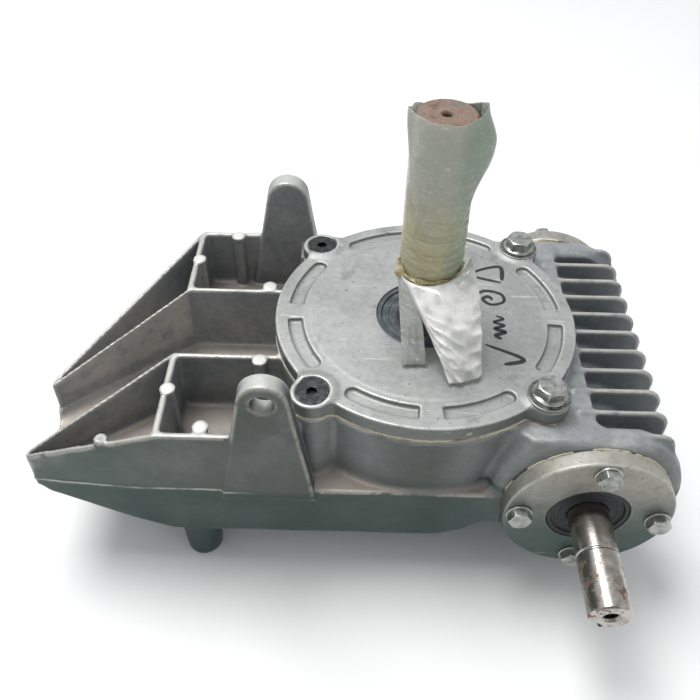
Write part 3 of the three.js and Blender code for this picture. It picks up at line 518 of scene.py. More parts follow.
def cut_inside(solid):
    bearing_r = 36.3
    seat_top = 25.5
    neck = [(20, 3), (28, 15), (41, 24), (53, 26), (CAVITY_R + 5, 26), (CAVITY_R + 5, 3)]
    profile = [
        (0, FLOOR_TOP + 4), (44, FLOOR_TOP + 4), (CAVITY_R - 4, FLOOR_TOP + 4),
        (CAVITY_R, FLOOR_TOP + 8), (CAVITY_R, FLANGE_TOP + 10), (0, FLANGE_TOP + 10),
    ]
    room = turned_on_z(profile)

    def cavity(x, y, z):
        bowl = meet(room.distance(x, y, z), -polygon_distance(neck, x, z), 3.0)
        seat = meet(np.hypot(x, y) - 45, z - seat_top)
        return meet(bowl, -seat)

    solid.cut(Shape(cavity, room.low, room.high))
    solid.cut(post(0, 0, bearing_r, FLOOR_TOP, seat_top + 10))
    stop = END_FACE_Y + 5
    solid.cut(worm_rod(END_BORE_R, -stop, stop))
    for x, y in SCREWS:
        solid.cut(post(x, y, SCREW_HOLE_R, 72, FLANGE_TOP + 5))
    for side in (-1, 1):
        for x, z in end_bolt_places(side):
            front, back = sorted((side * (END_FACE_Y + 2), side * 78))
            solid.cut(rod(x, z, 4.3, front, back))
    solid.cut(rod(OIL_PLUG_X, OIL_PLUG_Z, 9.3, 84, SIDE_Y + 5))


def end_bolt_places(side):
    """X and Z of an end's four bolts. The rear end is the front one turned half a turn about Z."""
    places = []
    for i in range(4):
        angle = math.radians(90 * i + END_BOLT_TURN)
        across = END_BOLT_CIRCLE_R * math.cos(angle)
        places.append((WORM_X - side * across, WORM_Z + END_BOLT_CIRCLE_R * math.sin(angle)))
    return places


def waves(x, y, z, length, seed):
    """Smooth unevenness between about -1 and 1, with features of about that length."""
    draw = random.Random(seed)
    total = 0
    count = 6
    for _ in range(count):
        turn = [draw.uniform(-1, 1) for _ in range(3)]
        size = math.sqrt(sum(t * t for t in turn))
        kx, ky, kz = (2 * math.pi * t / size / length for t in turn)
        total = total + np.sin(kx * x + ky * y + kz * z + draw.uniform(0, 2 * math.pi))
    return total / count * 1.6


def roughen(solid):
    """The casting's slight unevenness, and the flash left where its mould parted."""
    x, y, z = solid.grids()
    outline = np.abs(polygon_distance(TRAY_PLAN, x, y))
    ragged = 0.75 + 0.35 * waves(x, y, 0 * z, 17, SEED) + 0.25 * waves(x, y, 0 * z, 6, SEED + 1)
    line = PARTING_Z - 1.2 + 0.5 * waves(x, y, 0 * z, 60, SEED + 2)
    flash = np.clip(ragged, 0.15, 1.3) * np.exp(-(((z - line) / 0.9) ** 2))
    near = np.clip(1.5 - outline / 3, 0, 1) * (x < 45)
    inside = solid.field < 4
    solid.thicken(np.where(inside, flash * near, 0))
    solid.thicken(-0.16 * waves(x, y, z, 34, SEED + 3))


def housing_mesh(step):
    solid = Solid(HOUSING_LOW - 4, HOUSING_HIGH + 5, step)
    grow_tray(solid)
    grow_arms(solid)
    cut_arm_gap(solid)
    cut_pockets(solid)
    grow_bowl(solid)
    grow_posts(solid)
    grow_lugs(solid)
    grow_worm_housing(solid)
    grow_fins(solid)
    cut_underside(solid)
    grow_feet(solid)
    roughen(solid)
    trim_ends(solid)
    cut_inside(solid)
    return solid.mesh("housing_casting")


def trim_ends(solid):
    """Machines flat the worm housing's two ends and the flange that the cover sits on."""
    x, y, z = solid.grids()
    ends = np.where(x > 50, between(y, -END_FACE_Y, END_FACE_Y), -FAR)
    top = np.where(np.hypot(x, y) < COVER_R + LOBE_R, z - FLANGE_TOP, -FAR)
    flange = np.where(np.abs(y) < 88, top, -FAR)
    solid.keep(ends)
    solid.keep(flange)


# ---- Main cover ----
RECESS_INNER, RECESS_OUTER, RECESS_DEPTH = 79.8, 88.6, 3.0
SEAL_R = 31.0
BEARING_R = 36.0
COVER_HUB_R = 44.0
STEP_R = 75.0


def add_cover_plan(solid, low, high, edge, swell=0.0):
    solid.add(post(0, 0, COVER_R + swell, low, high, edge))
    for x, y in SCREWS:
        solid.add(post(x, y, LOBE_R + swell, low, high, edge), 5.0)


def cut_recesses(solid):
    """Eight arc recesses, square by the four bridges and round by the screws."""
    middle, half = (RECESS_INNER + RECESS_OUTER) / 2, (RECESS_OUTER - RECESS_INNER) / 2
    near, far = math.radians(5), math.radians(33)

    def recesses(x, y, z):
        turn = np.arctan2(y, x)
        quarter = np.abs(turn - np.rint(turn / (math.pi / 2)) * (math.pi / 2))
        radius = np.hypot(x, y)
        beyond = np.maximum(quarter - far, 0) * radius
        strip = np.hypot(radius - middle, beyond) - half
        ends = meet(strip, (near - quarter) * radius, 1.0)
        return meet(ends, COVER_TOP - RECESS_DEPTH - z, 1.6)

    wide = RECESS_OUTER + 1
    region = (-wide, -wide, COVER_TOP - RECESS_DEPTH), (wide, wide, COVER_TOP)
    solid.cut(Shape(recesses, *region), 1.3)


def cover_mesh(step):
    solid = Solid(COVER_LOW - 3, COVER_HIGH + 3, step)
    add_cover_plan(solid, COVER_BOTTOM, COVER_TOP, 1.5)
    solid.add(post(0, 0, COVER_HUB_R, 79, COVER_BOTTOM + 1, 1.0), 2.0)
    cut_recesses(solid)
    x, y, z = solid.grids()
    ring = np.clip((np.hypot(x, y) - STEP_R) / 1.5 + 0.5, 0, 1)
    top = np.clip((z - COVER_BOTTOM) / 4, 0, 1)
    solid.thicken(-0.25 * ring * top)
    solid.thicken(-0.05 * waves(x, y, z, 45, SEED + 5) * top)
    bearing_top = 97.8
    solid.cut(post(0, 0, BEARING_R + 0.3, 70, bearing_top))
    solid.cut(post(0, 0, 28, 90, COVER_TOP + 2))
    solid.cut(post(0, 0, SEAL_R + 0.3, COVER_TOP - 11, COVER_TOP + 3), 0.9)
    sink = [(0, COVER_TOP - 6), (5, COVER_TOP - 5.6), (10.4, COVER_TOP - 0.3)]
    sink += [(11, COVER_TOP + 3), (0, COVER_TOP + 3)]
    for x0, y0 in SCREWS:
        solid.cut(post(x0, y0, SCREW_HOLE_R, COVER_BOTTOM - 3, COVER_TOP + 3))
        if x0 < 0:
            solid.cut(turned_on_z(sink, x0, y0), 0.5)
    return solid.mesh("cover_casting", FINE)


def gasket_mesh(step):
    """The cover's paper gasket, a little of it squeezed out past the joint here and there."""
    low, high = FLANGE_TOP, COVER_BOTTOM
    solid = Solid(GASKET_LOW - 3, GASKET_HIGH + 3, step)
    add_cover_plan(solid, low, high, 0.3, 0.15)
    x, y, z = solid.grids()
    squeezed = 0.35 * waves(x, y, 0 * z, 23, SEED + 8) + 0.2 * waves(x, y, 0 * z, 7, SEED + 9)
    blob = 1.5 * np.exp(-((x + 62) ** 2 + (y + 85) ** 2) / 8)
    flat = np.clip(1 - np.abs(z - (low + high) / 2) / ((high - low) / 2), 0.2, 1)
    solid.thicken((squeezed + blob) * flat)
    solid.keep(between(z, low, high))
    solid.cut(post(0, 0, CAVITY_R, 90, 115))
    for x0, y0 in SCREWS:
        solid.cut(post(x0, y0, SCREW_HOLE_R, 90, 115))
    return solid.mesh("cover_gasket_paper", ())


# ---- Ends of the worm housing ----
# Drawn for the front end, and turned half a turn about Z for the rear one.
INPUT_SEAL_R = 25.0
SEAL_DEPTH = 10.0
FRONT_END = -1
SPIGOT_END = -94.7


def to_rear(mesh):
    """Turns a front end's mesh to the rear end, half a turn about the worm's middle."""
    return moved(mesh, Matrix.Rotation(math.pi, 3, "Z"), (2 * WORM_X, 0, 0))


def end_cover_mesh(name, is_open, step):
    face, back = -END_COVER_Y, -END_FACE_Y - END_GASKET
    solid = Solid(*worm_region(END_COVER_R + 3, face - 3, -90), step)
    solid.add(worm_rod(END_COVER_R, face, back, 1.3))
    solid.add(worm_rod(31.0, back - 1, SPIGOT_END, 0.6))
    x, y, z = solid.grids()
    seed = SEED + 11 + is_open
    solid.thicken(-0.12 * waves(x, y, z, 26, seed))
    solid.keep(y - SPIGOT_END)
    if is_open:
        solid.cut(worm_rod(20.0, face - 5, -80))
        solid.cut(worm_rod(INPUT_SEAL_R + 0.3, face - 5, face + SEAL_DEPTH), 0.9)
        solid.cut(worm_rod(26.0, face + SEAL_DEPTH + 2, -80))
    else:
        solid.cut(worm_rod(26.0, face + 5, -80))
    for place in end_bolt_places(FRONT_END):
        solid.cut(rod(*place, END_HOLE_R, face - 5, back + 5), 0.4)
    return solid.mesh(name, FINE)


def end_gasket_mesh(name, step):
    low, high = -END_FACE_Y - END_GASKET, -END_FACE_Y
    solid = Solid(*worm_region(END_COVER_R + 3, low - 2, high + 2), step)
    solid.add(worm_rod(END_COVER_R + 0.1, low, high, 0.25))
    x, y, z = solid.grids()
    solid.thicken(0.35 * waves(x, 0 * y, z, 19, SEED + 21) + 0.2 * waves(x, 0 * y, z, 6, SEED + 22))
    solid.keep(between(y, low, high))
    solid.cut(worm_rod(END_BORE_R, low - 5, high + 5))
    for place in end_bolt_places(FRONT_END):
        solid.cut(rod(*place, END_HOLE_R, low - 5, high + 5))
    return solid.mesh(name, ())


# ---- Fasteners ----
def hexagon(across_flats, turn):
    return arc(0, 0, across_flats / math.sqrt(3), turn, turn + 300, 60)


def hex_head(across_flats, low, high, turn):
    """A hexagon whose upper corners are turned off at 30 degrees, with a dished maker's ring."""
    outline = hexagon(across_flats, turn)
    slope = math.radians(30)

    def distance(x, y, z):
        radius = np.hypot(x, y)
        side = meet(polygon_distance(outline, x, y), between(z, low, high), 0.25)
        cone = (radius - across_flats * 0.475) * math.sin(slope) + (z - high) * math.cos(slope)
        dish = np.clip(1 - np.abs(radius / across_flats - 0.36) / 0.03, 0, 1) * 0.15
        return meet(side, cone, 0.2) + dish * np.clip(z - high + 1, 0, 1)

    wide = across_flats * 0.6
    return Shape(distance, (-wide, -wide, low), (wide, wide, high))


def bolt_mesh(name, across_flats, head, turn, flange_r=0.0, step=0.33):
    """A bolt standing on z = 0 with its head up, and a round flange under it where it has one."""
    wide = max(across_flats * 0.6, flange_r) + 1.5
    shank_r, shank = (5.0, -36.0) if across_flats > 14 else (4.0, -31.6)
    solid = Solid((-wide, -wide, shank - 1), (wide, wide, head + 1.5), step)
    solid.add(hex_head(across_flats, 0.0 if not flange_r else 1.0, head, turn))
    if flange_r:
        cone = [(0, 0), (flange_r, 0), (flange_r, 0.9), (across_flats * 0.53, 2.2), (0, 2.2)]
        solid.add(turned_on_z(cone), 0.4)
    solid.add(turned_on_z([(0, shank), (shank_r - 1, shank), (shank_r, shank + 1), (shank_r, 1), (0, 1)]))
    return solid.mesh(name, FINEST)


def washer_mesh(name, inner, outer, thickness, step=0.33):
    wide = outer + 1.5
    solid = Solid((-wide, -wide, -1), (wide, wide, thickness + 1), step)
    solid.add(post(0, 0, outer, 0, thickness, 0.45))
    solid.cut(post(0, 0, inner, -2, thickness + 2), 0.3)
    return solid.mesh(name, FINEST)


def screw_mesh(name, turn, step=0.33):
    """A countersunk screw with a hexagon socket, its top at z = 0."""
    solid = Solid((-11, -11, -36), (11, 11, 1.5), step)
    head = [(0, -34), (4, -34), (5, -33), (5, -5.3), (9.6, -0.7), (10, -0.4), (10, 0), (0, 0)]
    solid.add(turned_on_z(head))
    socket = prism(hexagon(6.0, turn), -4.0, 3, 0.2)
    solid.cut(socket, 0.3)
    return solid.mesh(name, FINEST)


def moved(mesh, turn, place):
    """Turns a mesh by a matrix, then moves it by millimetres."""
    mesh.transform(turn.to_4x4())
    mesh.transform(Matrix.Translation(Vector(place) * MM))
    mesh.update()
    return mesh


# ---- Turned and cut pieces ----
def softened(profile, radius, steps=3):
    """A closed profile with its corners rounded, and a point on each flat beside every corner."""
    out = []
    count = len(profile)
    for i, (r, h) in enumerate(profile):
        here = Vector((r, h))
        back = Vector(profile[i - 1]) - here
        ahead = Vector(profile[(i + 1) % count]) - here
        on_axis = r < 1e-6
        reach = min(radius, 0.4 * back.length, 0.4 * ahead.length)
        if on_axis or reach < 0.02:
            out.append((r, h))
            continue
        start, end = here + back.normalized() * reach, here + ahead.normalized() * reach
        flat = 0.3 * reach
        out.append(tuple(start + back.normalized() * flat))
        for k in range(steps + 1):
            t = k / steps
            out.append(tuple((1 - t) ** 2 * start + 2 * t * (1 - t) * here + t * t * end))
        out.append(tuple(end + ahead.normalized() * flat))
    return out


def on_line(along, centre, radius, angle, height):
    """A place round a line along Z or Y, in metres."""
    u, v = centre[0] + radius * math.cos(angle), centre[1] + radius * math.sin(angle)
    return Vector((u, v, height) if along == "z" else (u, height, v)) * MM


def turned_mesh(name, profile, radius=0.4, sides=96, along="z", centre=(0.0, 0.0)):
    """A closed profile of [radius, height] turned about a line along Z or Y."""
    points = softened(profile, radius)
    shape = bmesh.new()
    rings = []
    for r, h in points:
        angles = [0.0] if r < 1e-6 else [2 * math.pi * k / sides for k in range(sides)]
        rings.append([shape.verts.new(on_line(along, centre, r, angle, h)) for angle in angles])
    for low, high in zip(rings, rings[1:] + rings[:1]):
        if len(low) == 1 and len(high) == 1:
            continue
        for k in range(sides):
            corners = [low[k % len(low)], low[(k + 1) % len(low)]]
            corners += [high[(k + 1) % len(high)], high[k % len(high)]]
            shape.faces.new(list(dict.fromkeys(corners)))
    return finished(name, shape)


def twisted_mesh(name, outline, low, high, turn_per_mm, steps):
    """An outline in X and Y run from one height to another, turning as it goes."""
    shape = bmesh.new()
    rings = []
    for k in range(steps + 1):
        z = low + (high - low) * k / steps
        c, s = math.cos(z * turn_per_mm), math.sin(z * turn_per_mm)
        rings.append([shape.verts.new(Vector((c * x - s * y, s * x + c * y, z)) * MM) for x, y in outline])
    for below, above in zip(rings, rings[1:]):
        count = len(outline)
        for k in range(count):
            shape.faces.new((below[k], below[(k + 1) % count], above[(k + 1) % count], above[k]))
    shape.faces.new(rings[0])
    shape.faces.new(rings[-1])
    return finished(name, shape)


def finished(name, shape):
    """A Blender mesh from a bmesh, facing outwards and smooth but for its sharp edges."""
    bmesh.ops.recalc_face_normals(shape, faces=shape.faces)
    mesh = bpy.data.meshes.new(name)
    shape.to_mesh(mesh)
    shape.free()
    return smoothed(mesh)


def smoothed(mesh):
    mesh.shade_smooth()
    mesh.set_sharp_from_angle(angle=math.radians(40))
    return mesh


def combined(name, base, tool, operation):
    """Two closed meshes joined or cut, by Blender's boolean."""
    parts = [shown(name, mesh) for mesh in (base, tool)]
    modifier = parts[0].modifiers.new("boolean", "BOOLEAN")
    modifier.object, modifier.operation, modifier.solver = parts[1], operation, "MANIFOLD"
    graph = bpy.context.evaluated_depsgraph_get()
    mesh = bpy.data.meshes.new_from_object(parts[0].evaluated_get(graph), depsgraph=graph)
    for part in parts:
        bpy.data.objects.remove(part)
    return smoothed(mesh)


OUTPUT_R = 17.5
OUTPUT_TOP = mm_box("output_shaft")[1][2]
INPUT_R = 12.5
INPUT_END_Y = mm_box("worm_shaft")[0][1]
WORM_BEARING_Y = 78.0


def output_shaft_mesh():
    top = OUTPUT_TOP
    profile = [
        (0, 9), (16, 9), (OUTPUT_R, 10.5), (OUTPUT_R, 66), (21, 66), (21, 80.2), (OUTPUT_R, 80.2),
        (OUTPUT_R, top - 1.5), (16, top), (3.6, top), (2.6, top - 1.5), (2.6, top - 10),
        (0, top - 12),
    ]
    body = turned_mesh("output_shaft_steel", profile, 0.5)
    key = twisted_mesh("keyway", [(12.5, -5), (22.5, -5), (22.5, 5), (12.5, 5)], 34, 60, 0, 1)
    return combined("output_shaft_steel", body, key, "DIFFERENCE")


GEAR_MODULE, WORM_STARTS, WORM_PITCH_R, WHEEL_TEETH = 4.0, 2, 20.0, 40
FLANK_PLAY = 0.3
LEAD = GEAR_MODULE * math.pi * WORM_STARTS
PRESSURE = math.radians(20)


def worm_outline():
    """A cross-section of the thread: crest, flanks and root for each start."""
    points = []

    def half_angle(height):
        return 2 * math.pi * (GEAR_MODULE * math.pi / 4 - height * math.tan(PRESSURE) - FLANK_PLAY) / LEAD

    def place(height, angle):
        r = WORM_PITCH_R + height
        points.append((r * math.cos(angle), r * math.sin(angle)))

    crest, root = GEAR_MODULE, -1.2 * GEAR_MODULE
    for start in range(WORM_STARTS):
        middle = math.pi / 2 + 2 * math.pi * start / WORM_STARTS
        heights = [root + (crest - root) * k / 4 for k in range(5)]
        for height in heights:
            place(height, middle - half_angle(height))
        for k in (-1, 0, 1):
            place(crest, middle + half_angle(crest) * k / 2)
        for height in reversed(heights):
            place(height, middle + half_angle(height))
        rest = 2 * math.pi / WORM_STARTS - 2 * half_angle(root)
        for k in range(1, 6):
            place(root, middle + half_angle(root) + rest * k / 6)
    return points


def worm_shaft_mesh():
    end, seat = INPUT_END_Y, WORM_BEARING_Y - 0.3
    profile = [
        (0, end + 16), (4, end + 14), (4, end + 1.5), (5.5, end), (INPUT_R - 1, end),
        (INPUT_R, end + 1), (INPUT_R, -139), (INPUT_R - 0.6, -138.4), (INPUT_R - 0.6, -137.6),
        (INPUT_R, -137), (INPUT_R, -seat), (16, -seat), (16, -40), (13.5, -38), (13.5, 38),
        (16, 40), (16, seat), (INPUT_R, seat), (INPUT_R, END_FACE_Y - 1.5),
        (INPUT_R - 1, END_FACE_Y - 0.5), (0, END_FACE_Y - 0.5),
    ]
    body = turned_mesh("worm_shaft_steel", profile, 0.3, 96, "y", WORM_LINE)
    half_length = 34
    thread = twisted_mesh("thread", worm_outline(), -half_length, half_length, 2 * math.pi / LEAD, 150)
    thread = moved(thread, Matrix.Rotation(-math.pi / 2, 3, "X"), (WORM_X, 0, WORM_Z))
    whole = combined("worm_shaft_steel", body, thread, "UNION")
    half_width, length = 4, 42
    slot = [(-half_width, 0), (half_width, 0)] + arc(0, length, half_width, 0, 180, 15)
    keyway = twisted_mesh("keyway", slot, INPUT_R - 4, INPUT_R + 3, 0, 1)
    keyway = moved(keyway, Matrix.Rotation(math.radians(-140), 3, "Y"), (WORM_X, end - 10, WORM_Z))
    return combined("worm_shaft_steel", whole, keyway, "DIFFERENCE")


WHEEL_HALF_FACE = 17.0
RIM_INNER_R = 62.0


def wheel_outline():
    pitch_r = GEAR_MODULE * WHEEL_TEETH / 2
    base_r = pitch_r * math.cos(PRESSURE)
    root_r, tip_r = pitch_r - 1.2 * GEAR_MODULE, pitch_r + GEAR_MODULE
    flank = [root_r + 0.1 + (tip_r - root_r - 0.1) * k / 5 for k in range(6)]

    def involute(angle):
        return math.tan(angle) - angle

    def half_angle(radius):
        here = math.acos(min(1, base_r / radius))
        return math.pi / (2 * WHEEL_TEETH) + involute(PRESSURE) - involute(here) - FLANK_PLAY / radius

    points = []
    for tooth in range(WHEEL_TEETH):
        middle = 2 * math.pi * tooth / WHEEL_TEETH
        turns = [(r, middle - half_angle(r)) for r in flank]
        turns += [(r, middle + half_angle(r)) for r in reversed(flank)]
        points += [(r * math.cos(a), r * math.sin(a)) for r, a in turns]
    return points


def wheel_rim_mesh():
    slope = LEAD / (2 * math.pi * WORM_PITCH_R)
    turn = slope / (GEAR_MODULE * WHEEL_TEETH / 2)
    teeth = twisted_mesh("teeth", wheel_outline(), -WHEEL_HALF_FACE, WHEEL_HALF_FACE, turn, 12)
    bore = turned_mesh("bore", [(0, -30), (RIM_INNER_R, -30), (RIM_INNER_R, 30), (0, 30)], 0.1, 120)
    return moved(combined("wheel_rim_bronze", teeth, bore, "DIFFERENCE"), Matrix(), (0, 0, WORM_Z))


def wheel_hub_mesh():
    low, high = WORM_Z - WHEEL_HALF_FACE + 1, WORM_Z + WHEEL_HALF_FACE - 1
    bore, rim = OUTPUT_R + 0.3, RIM_INNER_R - 0.3
    profile = [
        (bore, 31), (29, 31), (29, 41), (50, 41), (50, low), (rim, low), (rim, high), (50, high),
        (50, 51), (29, 51), (29, 65.7), (bore, 65.7),
    ]
    body = turned_mesh("wheel_hub_iron", profile, 2.0)
    play = 0.15
    slot = [(12, -5 + play), (20.8, -5 + play), (20.8, 5 - play), (12, 5 - play)]
    key = twisted_mesh("keyway", slot, 28, 70, 0, 1)
    return combined("wheel_hub_iron", body, key, "DIFFERENCE")


def seal_mesh(name, inner, outer, back, front, along="z", centre=(0.0, 0.0)):
    """An oil seal: a rubber rim, a sunk face with moulded rings and a lip on the shaft."""
    inward = 1 if back > front else -1
    middle = (inner + outer) / 2
    profile = [
        (inner + 0.6, back), (outer, back), (outer, front), (outer - 2.6, front),
        (outer - 3.2, front + 1.5 * inward), (middle + 1.2, front + 1.5 * inward),
        (middle + 0.6, front + 0.9 * inward), (middle - 0.6, front + 0.9 * inward),
        (middle - 1.2, front + 1.5 * inward), (inner + 4, front + 1.5 * inward),
        (inner + 2.6, front + 0.3 * inward), (inner, front + 0.8 * inward),
    ]
    return turned_mesh(name, profile, 0.3, 96, along, centre)


def bearing_meshes(name, bore, outer, width, ball_r, balls, start, along, centre):
    """The two races, and the balls with the pressed cage that spaces them."""
    pitch, middle = (bore + outer) / 2, start + width / 2
    groove = ball_r + 0.15

    def race(edge, sign):
        curve = [(pitch + sign * u, v) for u, v in arc(0, middle, groove, -60, 60, 10)]
        rim = pitch + sign * ball_r * 0.5
        return [(edge, start), (rim, start)] + curve + [(rim, start + width), (edge, start + width)]

    ring = [(pitch - 1, middle - 3), (pitch + 1, middle - 3), (pitch + 1, middle + 3)]
    cage = turned_mesh("cage", ring + [(pitch - 1, middle + 3)], 0.3, 72, along, centre)
    shape = bmesh.new()
    shape.from_mesh(cage)
    for k in range(balls):
        spot = Matrix.Translation(on_line(along, centre, pitch, 2 * math.pi * k / balls, middle))
        bmesh.ops.create_icosphere(shape, subdivisions=3, radius=ball_r * MM, matrix=spot)
    outer_race = turned_mesh(name + "_outer", race(outer, 1), 0.3, 96, along, centre)
    inner_race = turned_mesh(name + "_inner", race(bore + 0.3, -1), 0.3, 96, along, centre)
    return outer_race, inner_race, finished(name + "_balls", shape)


# ---- Wrapping film ----
FILM_TIE_Z = 152.0
FILM_TOP = 255.5
FILM_THICKNESS = 0.25


def bell(value, centre, width):
    return np.exp(-(((value - centre) / width) ** 2))


def near_turn(turn, degrees, width):
    """A bell round the shaft, on the side that faces that way."""
    return bell(np.mod(turn - math.radians(degrees) + math.pi, 2 * math.pi), math.pi, width)


def ease(value, low, high):
    t = np.clip((value - low) / (high - low), 0, 1)
    return t * t * (3 - 2 * t)


def sheet_mesh(name, places, thickness):
    """A closed thin sheet from a grid of points, rows by columns, with rounded-looking edges."""
    rows, columns = places.shape[:2]
    across = np.gradient(places, axis=1)
    down = np.gradient(places, axis=0)
    normal = np.cross(across, down)
    normal /= np.linalg.norm(normal, axis=2, keepdims=True) + 1e-9
    sides = [places + normal * thickness / 2, places - normal * thickness / 2]
    points = np.concatenate([side.reshape(-1, 3) for side in sides])
    index = np.arange(rows * columns).reshape(rows, columns)
    corner = [index[:-1, :-1], index[1:, :-1], index[1:, 1:], index[:-1, 1:]]
    front = np.stack([c.ravel() for c in corner], axis=1)
    back = front[:, ::-1] + rows * columns
    rim = np.concatenate([index[0, :], index[1:, -1], index[-1, -2::-1], index[-2:0:-1, 0]])
    ahead = np.roll(rim, -1)
    wall = np.stack([rim, ahead, ahead + rows * columns, rim + rows * columns], axis=1)
    mesh = bpy.data.meshes.new(name)
    faces = np.concatenate([front, back, wall[:, ::-1]])
    mesh.from_pydata((points * MM).tolist(), [], faces.tolist())
    shape = bmesh.new()
    shape.from_mesh(mesh)
    bmesh.ops.recalc_face_normals(shape, faces=shape.faces)
    shape.to_mesh(mesh)
    shape.free()
    mesh.shade_smooth()
    return mesh


def creases(u, v, lengths, seed):
    """Sharp-edged folds, from 0 in the hollows to about 1 on the ridges."""
    total = 0
    for k, length in enumerate(lengths):
        total = total + (1 - np.abs(waves(u, v, 0 * u, length, seed + k))) / len(lengths)
    return total


def film_wrap_mesh():
    """Clear film wound a little over once round the shaft, loose and torn at its top."""
    rows, columns = 150, 300
    start, end = math.radians(20), math.radians(20 + 410)
    turn = np.linspace(start, end, columns)[None, :]
    rise = np.linspace(0, 1, rows)[:, None]
    way = np.cos(turn), np.sin(turn)
    tip, flare, behind = near_turn(turn, 188, 0.16), near_turn(turn, -8, 0.42), near_turn(turn, 90, 0.9)
    ragged = waves(turn * 20, 0 * turn, 0 * turn, 14, SEED + 31)
    low = FILM_TIE_Z - 2.5
    top = FILM_TOP + 1.5 * tip + 4.0 * flare + ragged - 9.0 * behind
    height = low + (top - low) * rise
    along = turn * OUTPUT_R
    folds = creases(along, height * 0.45, (31, 17, 11), SEED + 33)
    crinkle = creases(along * 0.5, height * 2.2, (13, 7), SEED + 37)
    low_part = 1 - ease(height, 165, 205)
    spread = ease(height, FILM_TIE_Z, FILM_TIE_Z + 10)
    loose = ease(height, 196, 236)
    radius = OUTPUT_R + 0.35 + 0.45 * (turn - start) / (2 * math.pi)
    radius = radius + spread * (0.9 * folds + 0.8 * crinkle * low_part)
    radius = radius + flare * loose * 8.5 * (1 - 0.75 * ease(height, 238, FILM_TOP + 5))
    radius = radius + tip * ease(height, 225, 250) * 2.5
    places = np.stack([radius * way[0], radius * way[1], height + 0 * turn], axis=2)
    return sheet_mesh("film_wrap", places, FILM_THICKNESS)


def film_tie_mesh():
    """A band of film twisted into a cord and drawn tight round the shaft, with a frayed end."""
    around, section = 220, 14
    turn = np.linspace(0, 2 * math.pi, around, endpoint=False)[:, None]
    ring = np.linspace(0, 2 * math.pi, section, endpoint=False)[None, :]
    bulk = 1.35 + 0.35 * waves(turn * 20, 0 * turn, 0 * turn, 9, SEED + 41)
    knot = near_turn(turn, 200, 0.12)
    bulk = (bulk + 1.6 * knot) * (1 + 0.22 * np.cos(3 * ring + 9 * turn))
    middle = OUTPUT_R + 1.9 + 0.5 * knot
    level = FILM_TIE_Z - 0.3 + 1.1 * np.sin(turn + 0.6) + 0.5 * np.sin(3 * turn)
    radius = middle + bulk * np.cos(ring)
    height = level + 1.5 * bulk * np.sin(ring)
    shape = bmesh.new()
    verts = [
        [shape.verts.new(on_line("z", (0, 0), r, t, h)) for r, h in zip(radius_row, height_row)]
        for t, radius_row, height_row in zip(turn[:, 0], radius, height)
    ]
    for k in range(around):
        for j in range(section):
            ahead, over = (k + 1) % around, (j + 1) % section
            shape.faces.new((verts[k][j], verts[ahead][j], verts[ahead][over], verts[k][over]))
    mesh = finished("film_tie_cord", shape)
    mesh.shade_smooth()
    return mesh


def hanging_mesh(name, top, bottom, bulge, folds, seed, rows=110, columns=70):
    """A loose end of film from a top edge to a bottom edge, bellied out and crumpled."""
    across = np.linspace(0, 1, columns)[None, :, None]
    down = np.linspace(0, 1, rows)[:, None, None]
    top_edge = np.array([top(u) for u in across[0, :, 0]])[None]
    bottom_edge = np.array([bottom(u) for u in across[0, :, 0]])[None]
    places = top_edge * (1 - down) + bottom_edge * down
    places = places + bulge(across, down)
    u, v = across[..., 0] * 30, down[..., 0] * 60
    pleats = creases(u * 1.3, v * 0.3, (26, 15), seed) - 0.5
    crumple = creases(u, v, (19, 11), seed + 5) - 0.5
    depth = folds * ease(v, 0, 6) * (0.8 * pleats + 0.9 * crumple * ease(v, 10, 40))
    out = np.array([0.25, -0.75, 0.6])
    return sheet_mesh(name, places + depth[..., None] * out, FILM_THICKNESS)


def white_tail_mesh():
    def top(u):
        a = math.radians(-168 + 150 * u)
        r = OUTPUT_R + 3.4 + 3.0 * u * u
        return r * math.cos(a), r * math.sin(a), 150 + 13.0 * u ** 3

    def bottom(u):
        return 11 + 20.5 * u, -64 + 7.5 * u - 1.5 * math.sin(math.pi * u), 112.4

    def bulge(u, v):
        belly = np.sin(math.pi * v) ** 0.8
        right = ease(u, 0.45, 1.0) * np.sin(math.pi * np.clip(v * 1.15, 0, 1))
        x = 2.5 * right - 1.0 * belly
        y = -4.5 * belly * np.sin(math.pi * np.clip(u, 0, 1)) - 2.0 * right
        z = 5.5 * belly + 2.0 * right
        return np.concatenate([x, y, z], axis=2)

    return hanging_mesh("tail_white", top, bottom, bulge, 3.4, SEED + 51)


def clear_tail_mesh():
    def top(u):
        a = math.radians(-176 + 62 * u)
        r = OUTPUT_R + 2.7
        return r * math.cos(a), r * math.sin(a), 150.0

    def bottom(u):
        return -16.5 + 14.5 * u, -49.0 + 0.8 * u, 112.2

    def bulge(u, v):
        belly = np.sin(math.pi * v)
        return np.concatenate([0 * u * v, -2.0 * belly + 0 * u, 2.0 * belly + 0 * u], axis=2)

    return hanging_mesh("tail_clear", top, bottom, bulge, 1.5, SEED + 61)


# ---- Marker strokes ----
def smooth_line(points, steps=8):
    """A curve through points (Catmull-Rom), as a list of places."""
    ends = [points[0]] + points + [points[-1]]
    line = []
    for a, b, c, d in zip(ends, ends[1:], ends[2:], ends[3:]):
        for k in range(steps):
            t = k / steps
            a, b, c, d = (Vector(point) for point in (a, b, c, d))
            curved = (2 * a - 5 * b + 4 * c - d) * t * t + (3 * b - a - 3 * c + d) * t ** 3
            line.append(0.5 * (2 * b + (c - a) * t + curved))
    return line + [Vector(points[-1])]


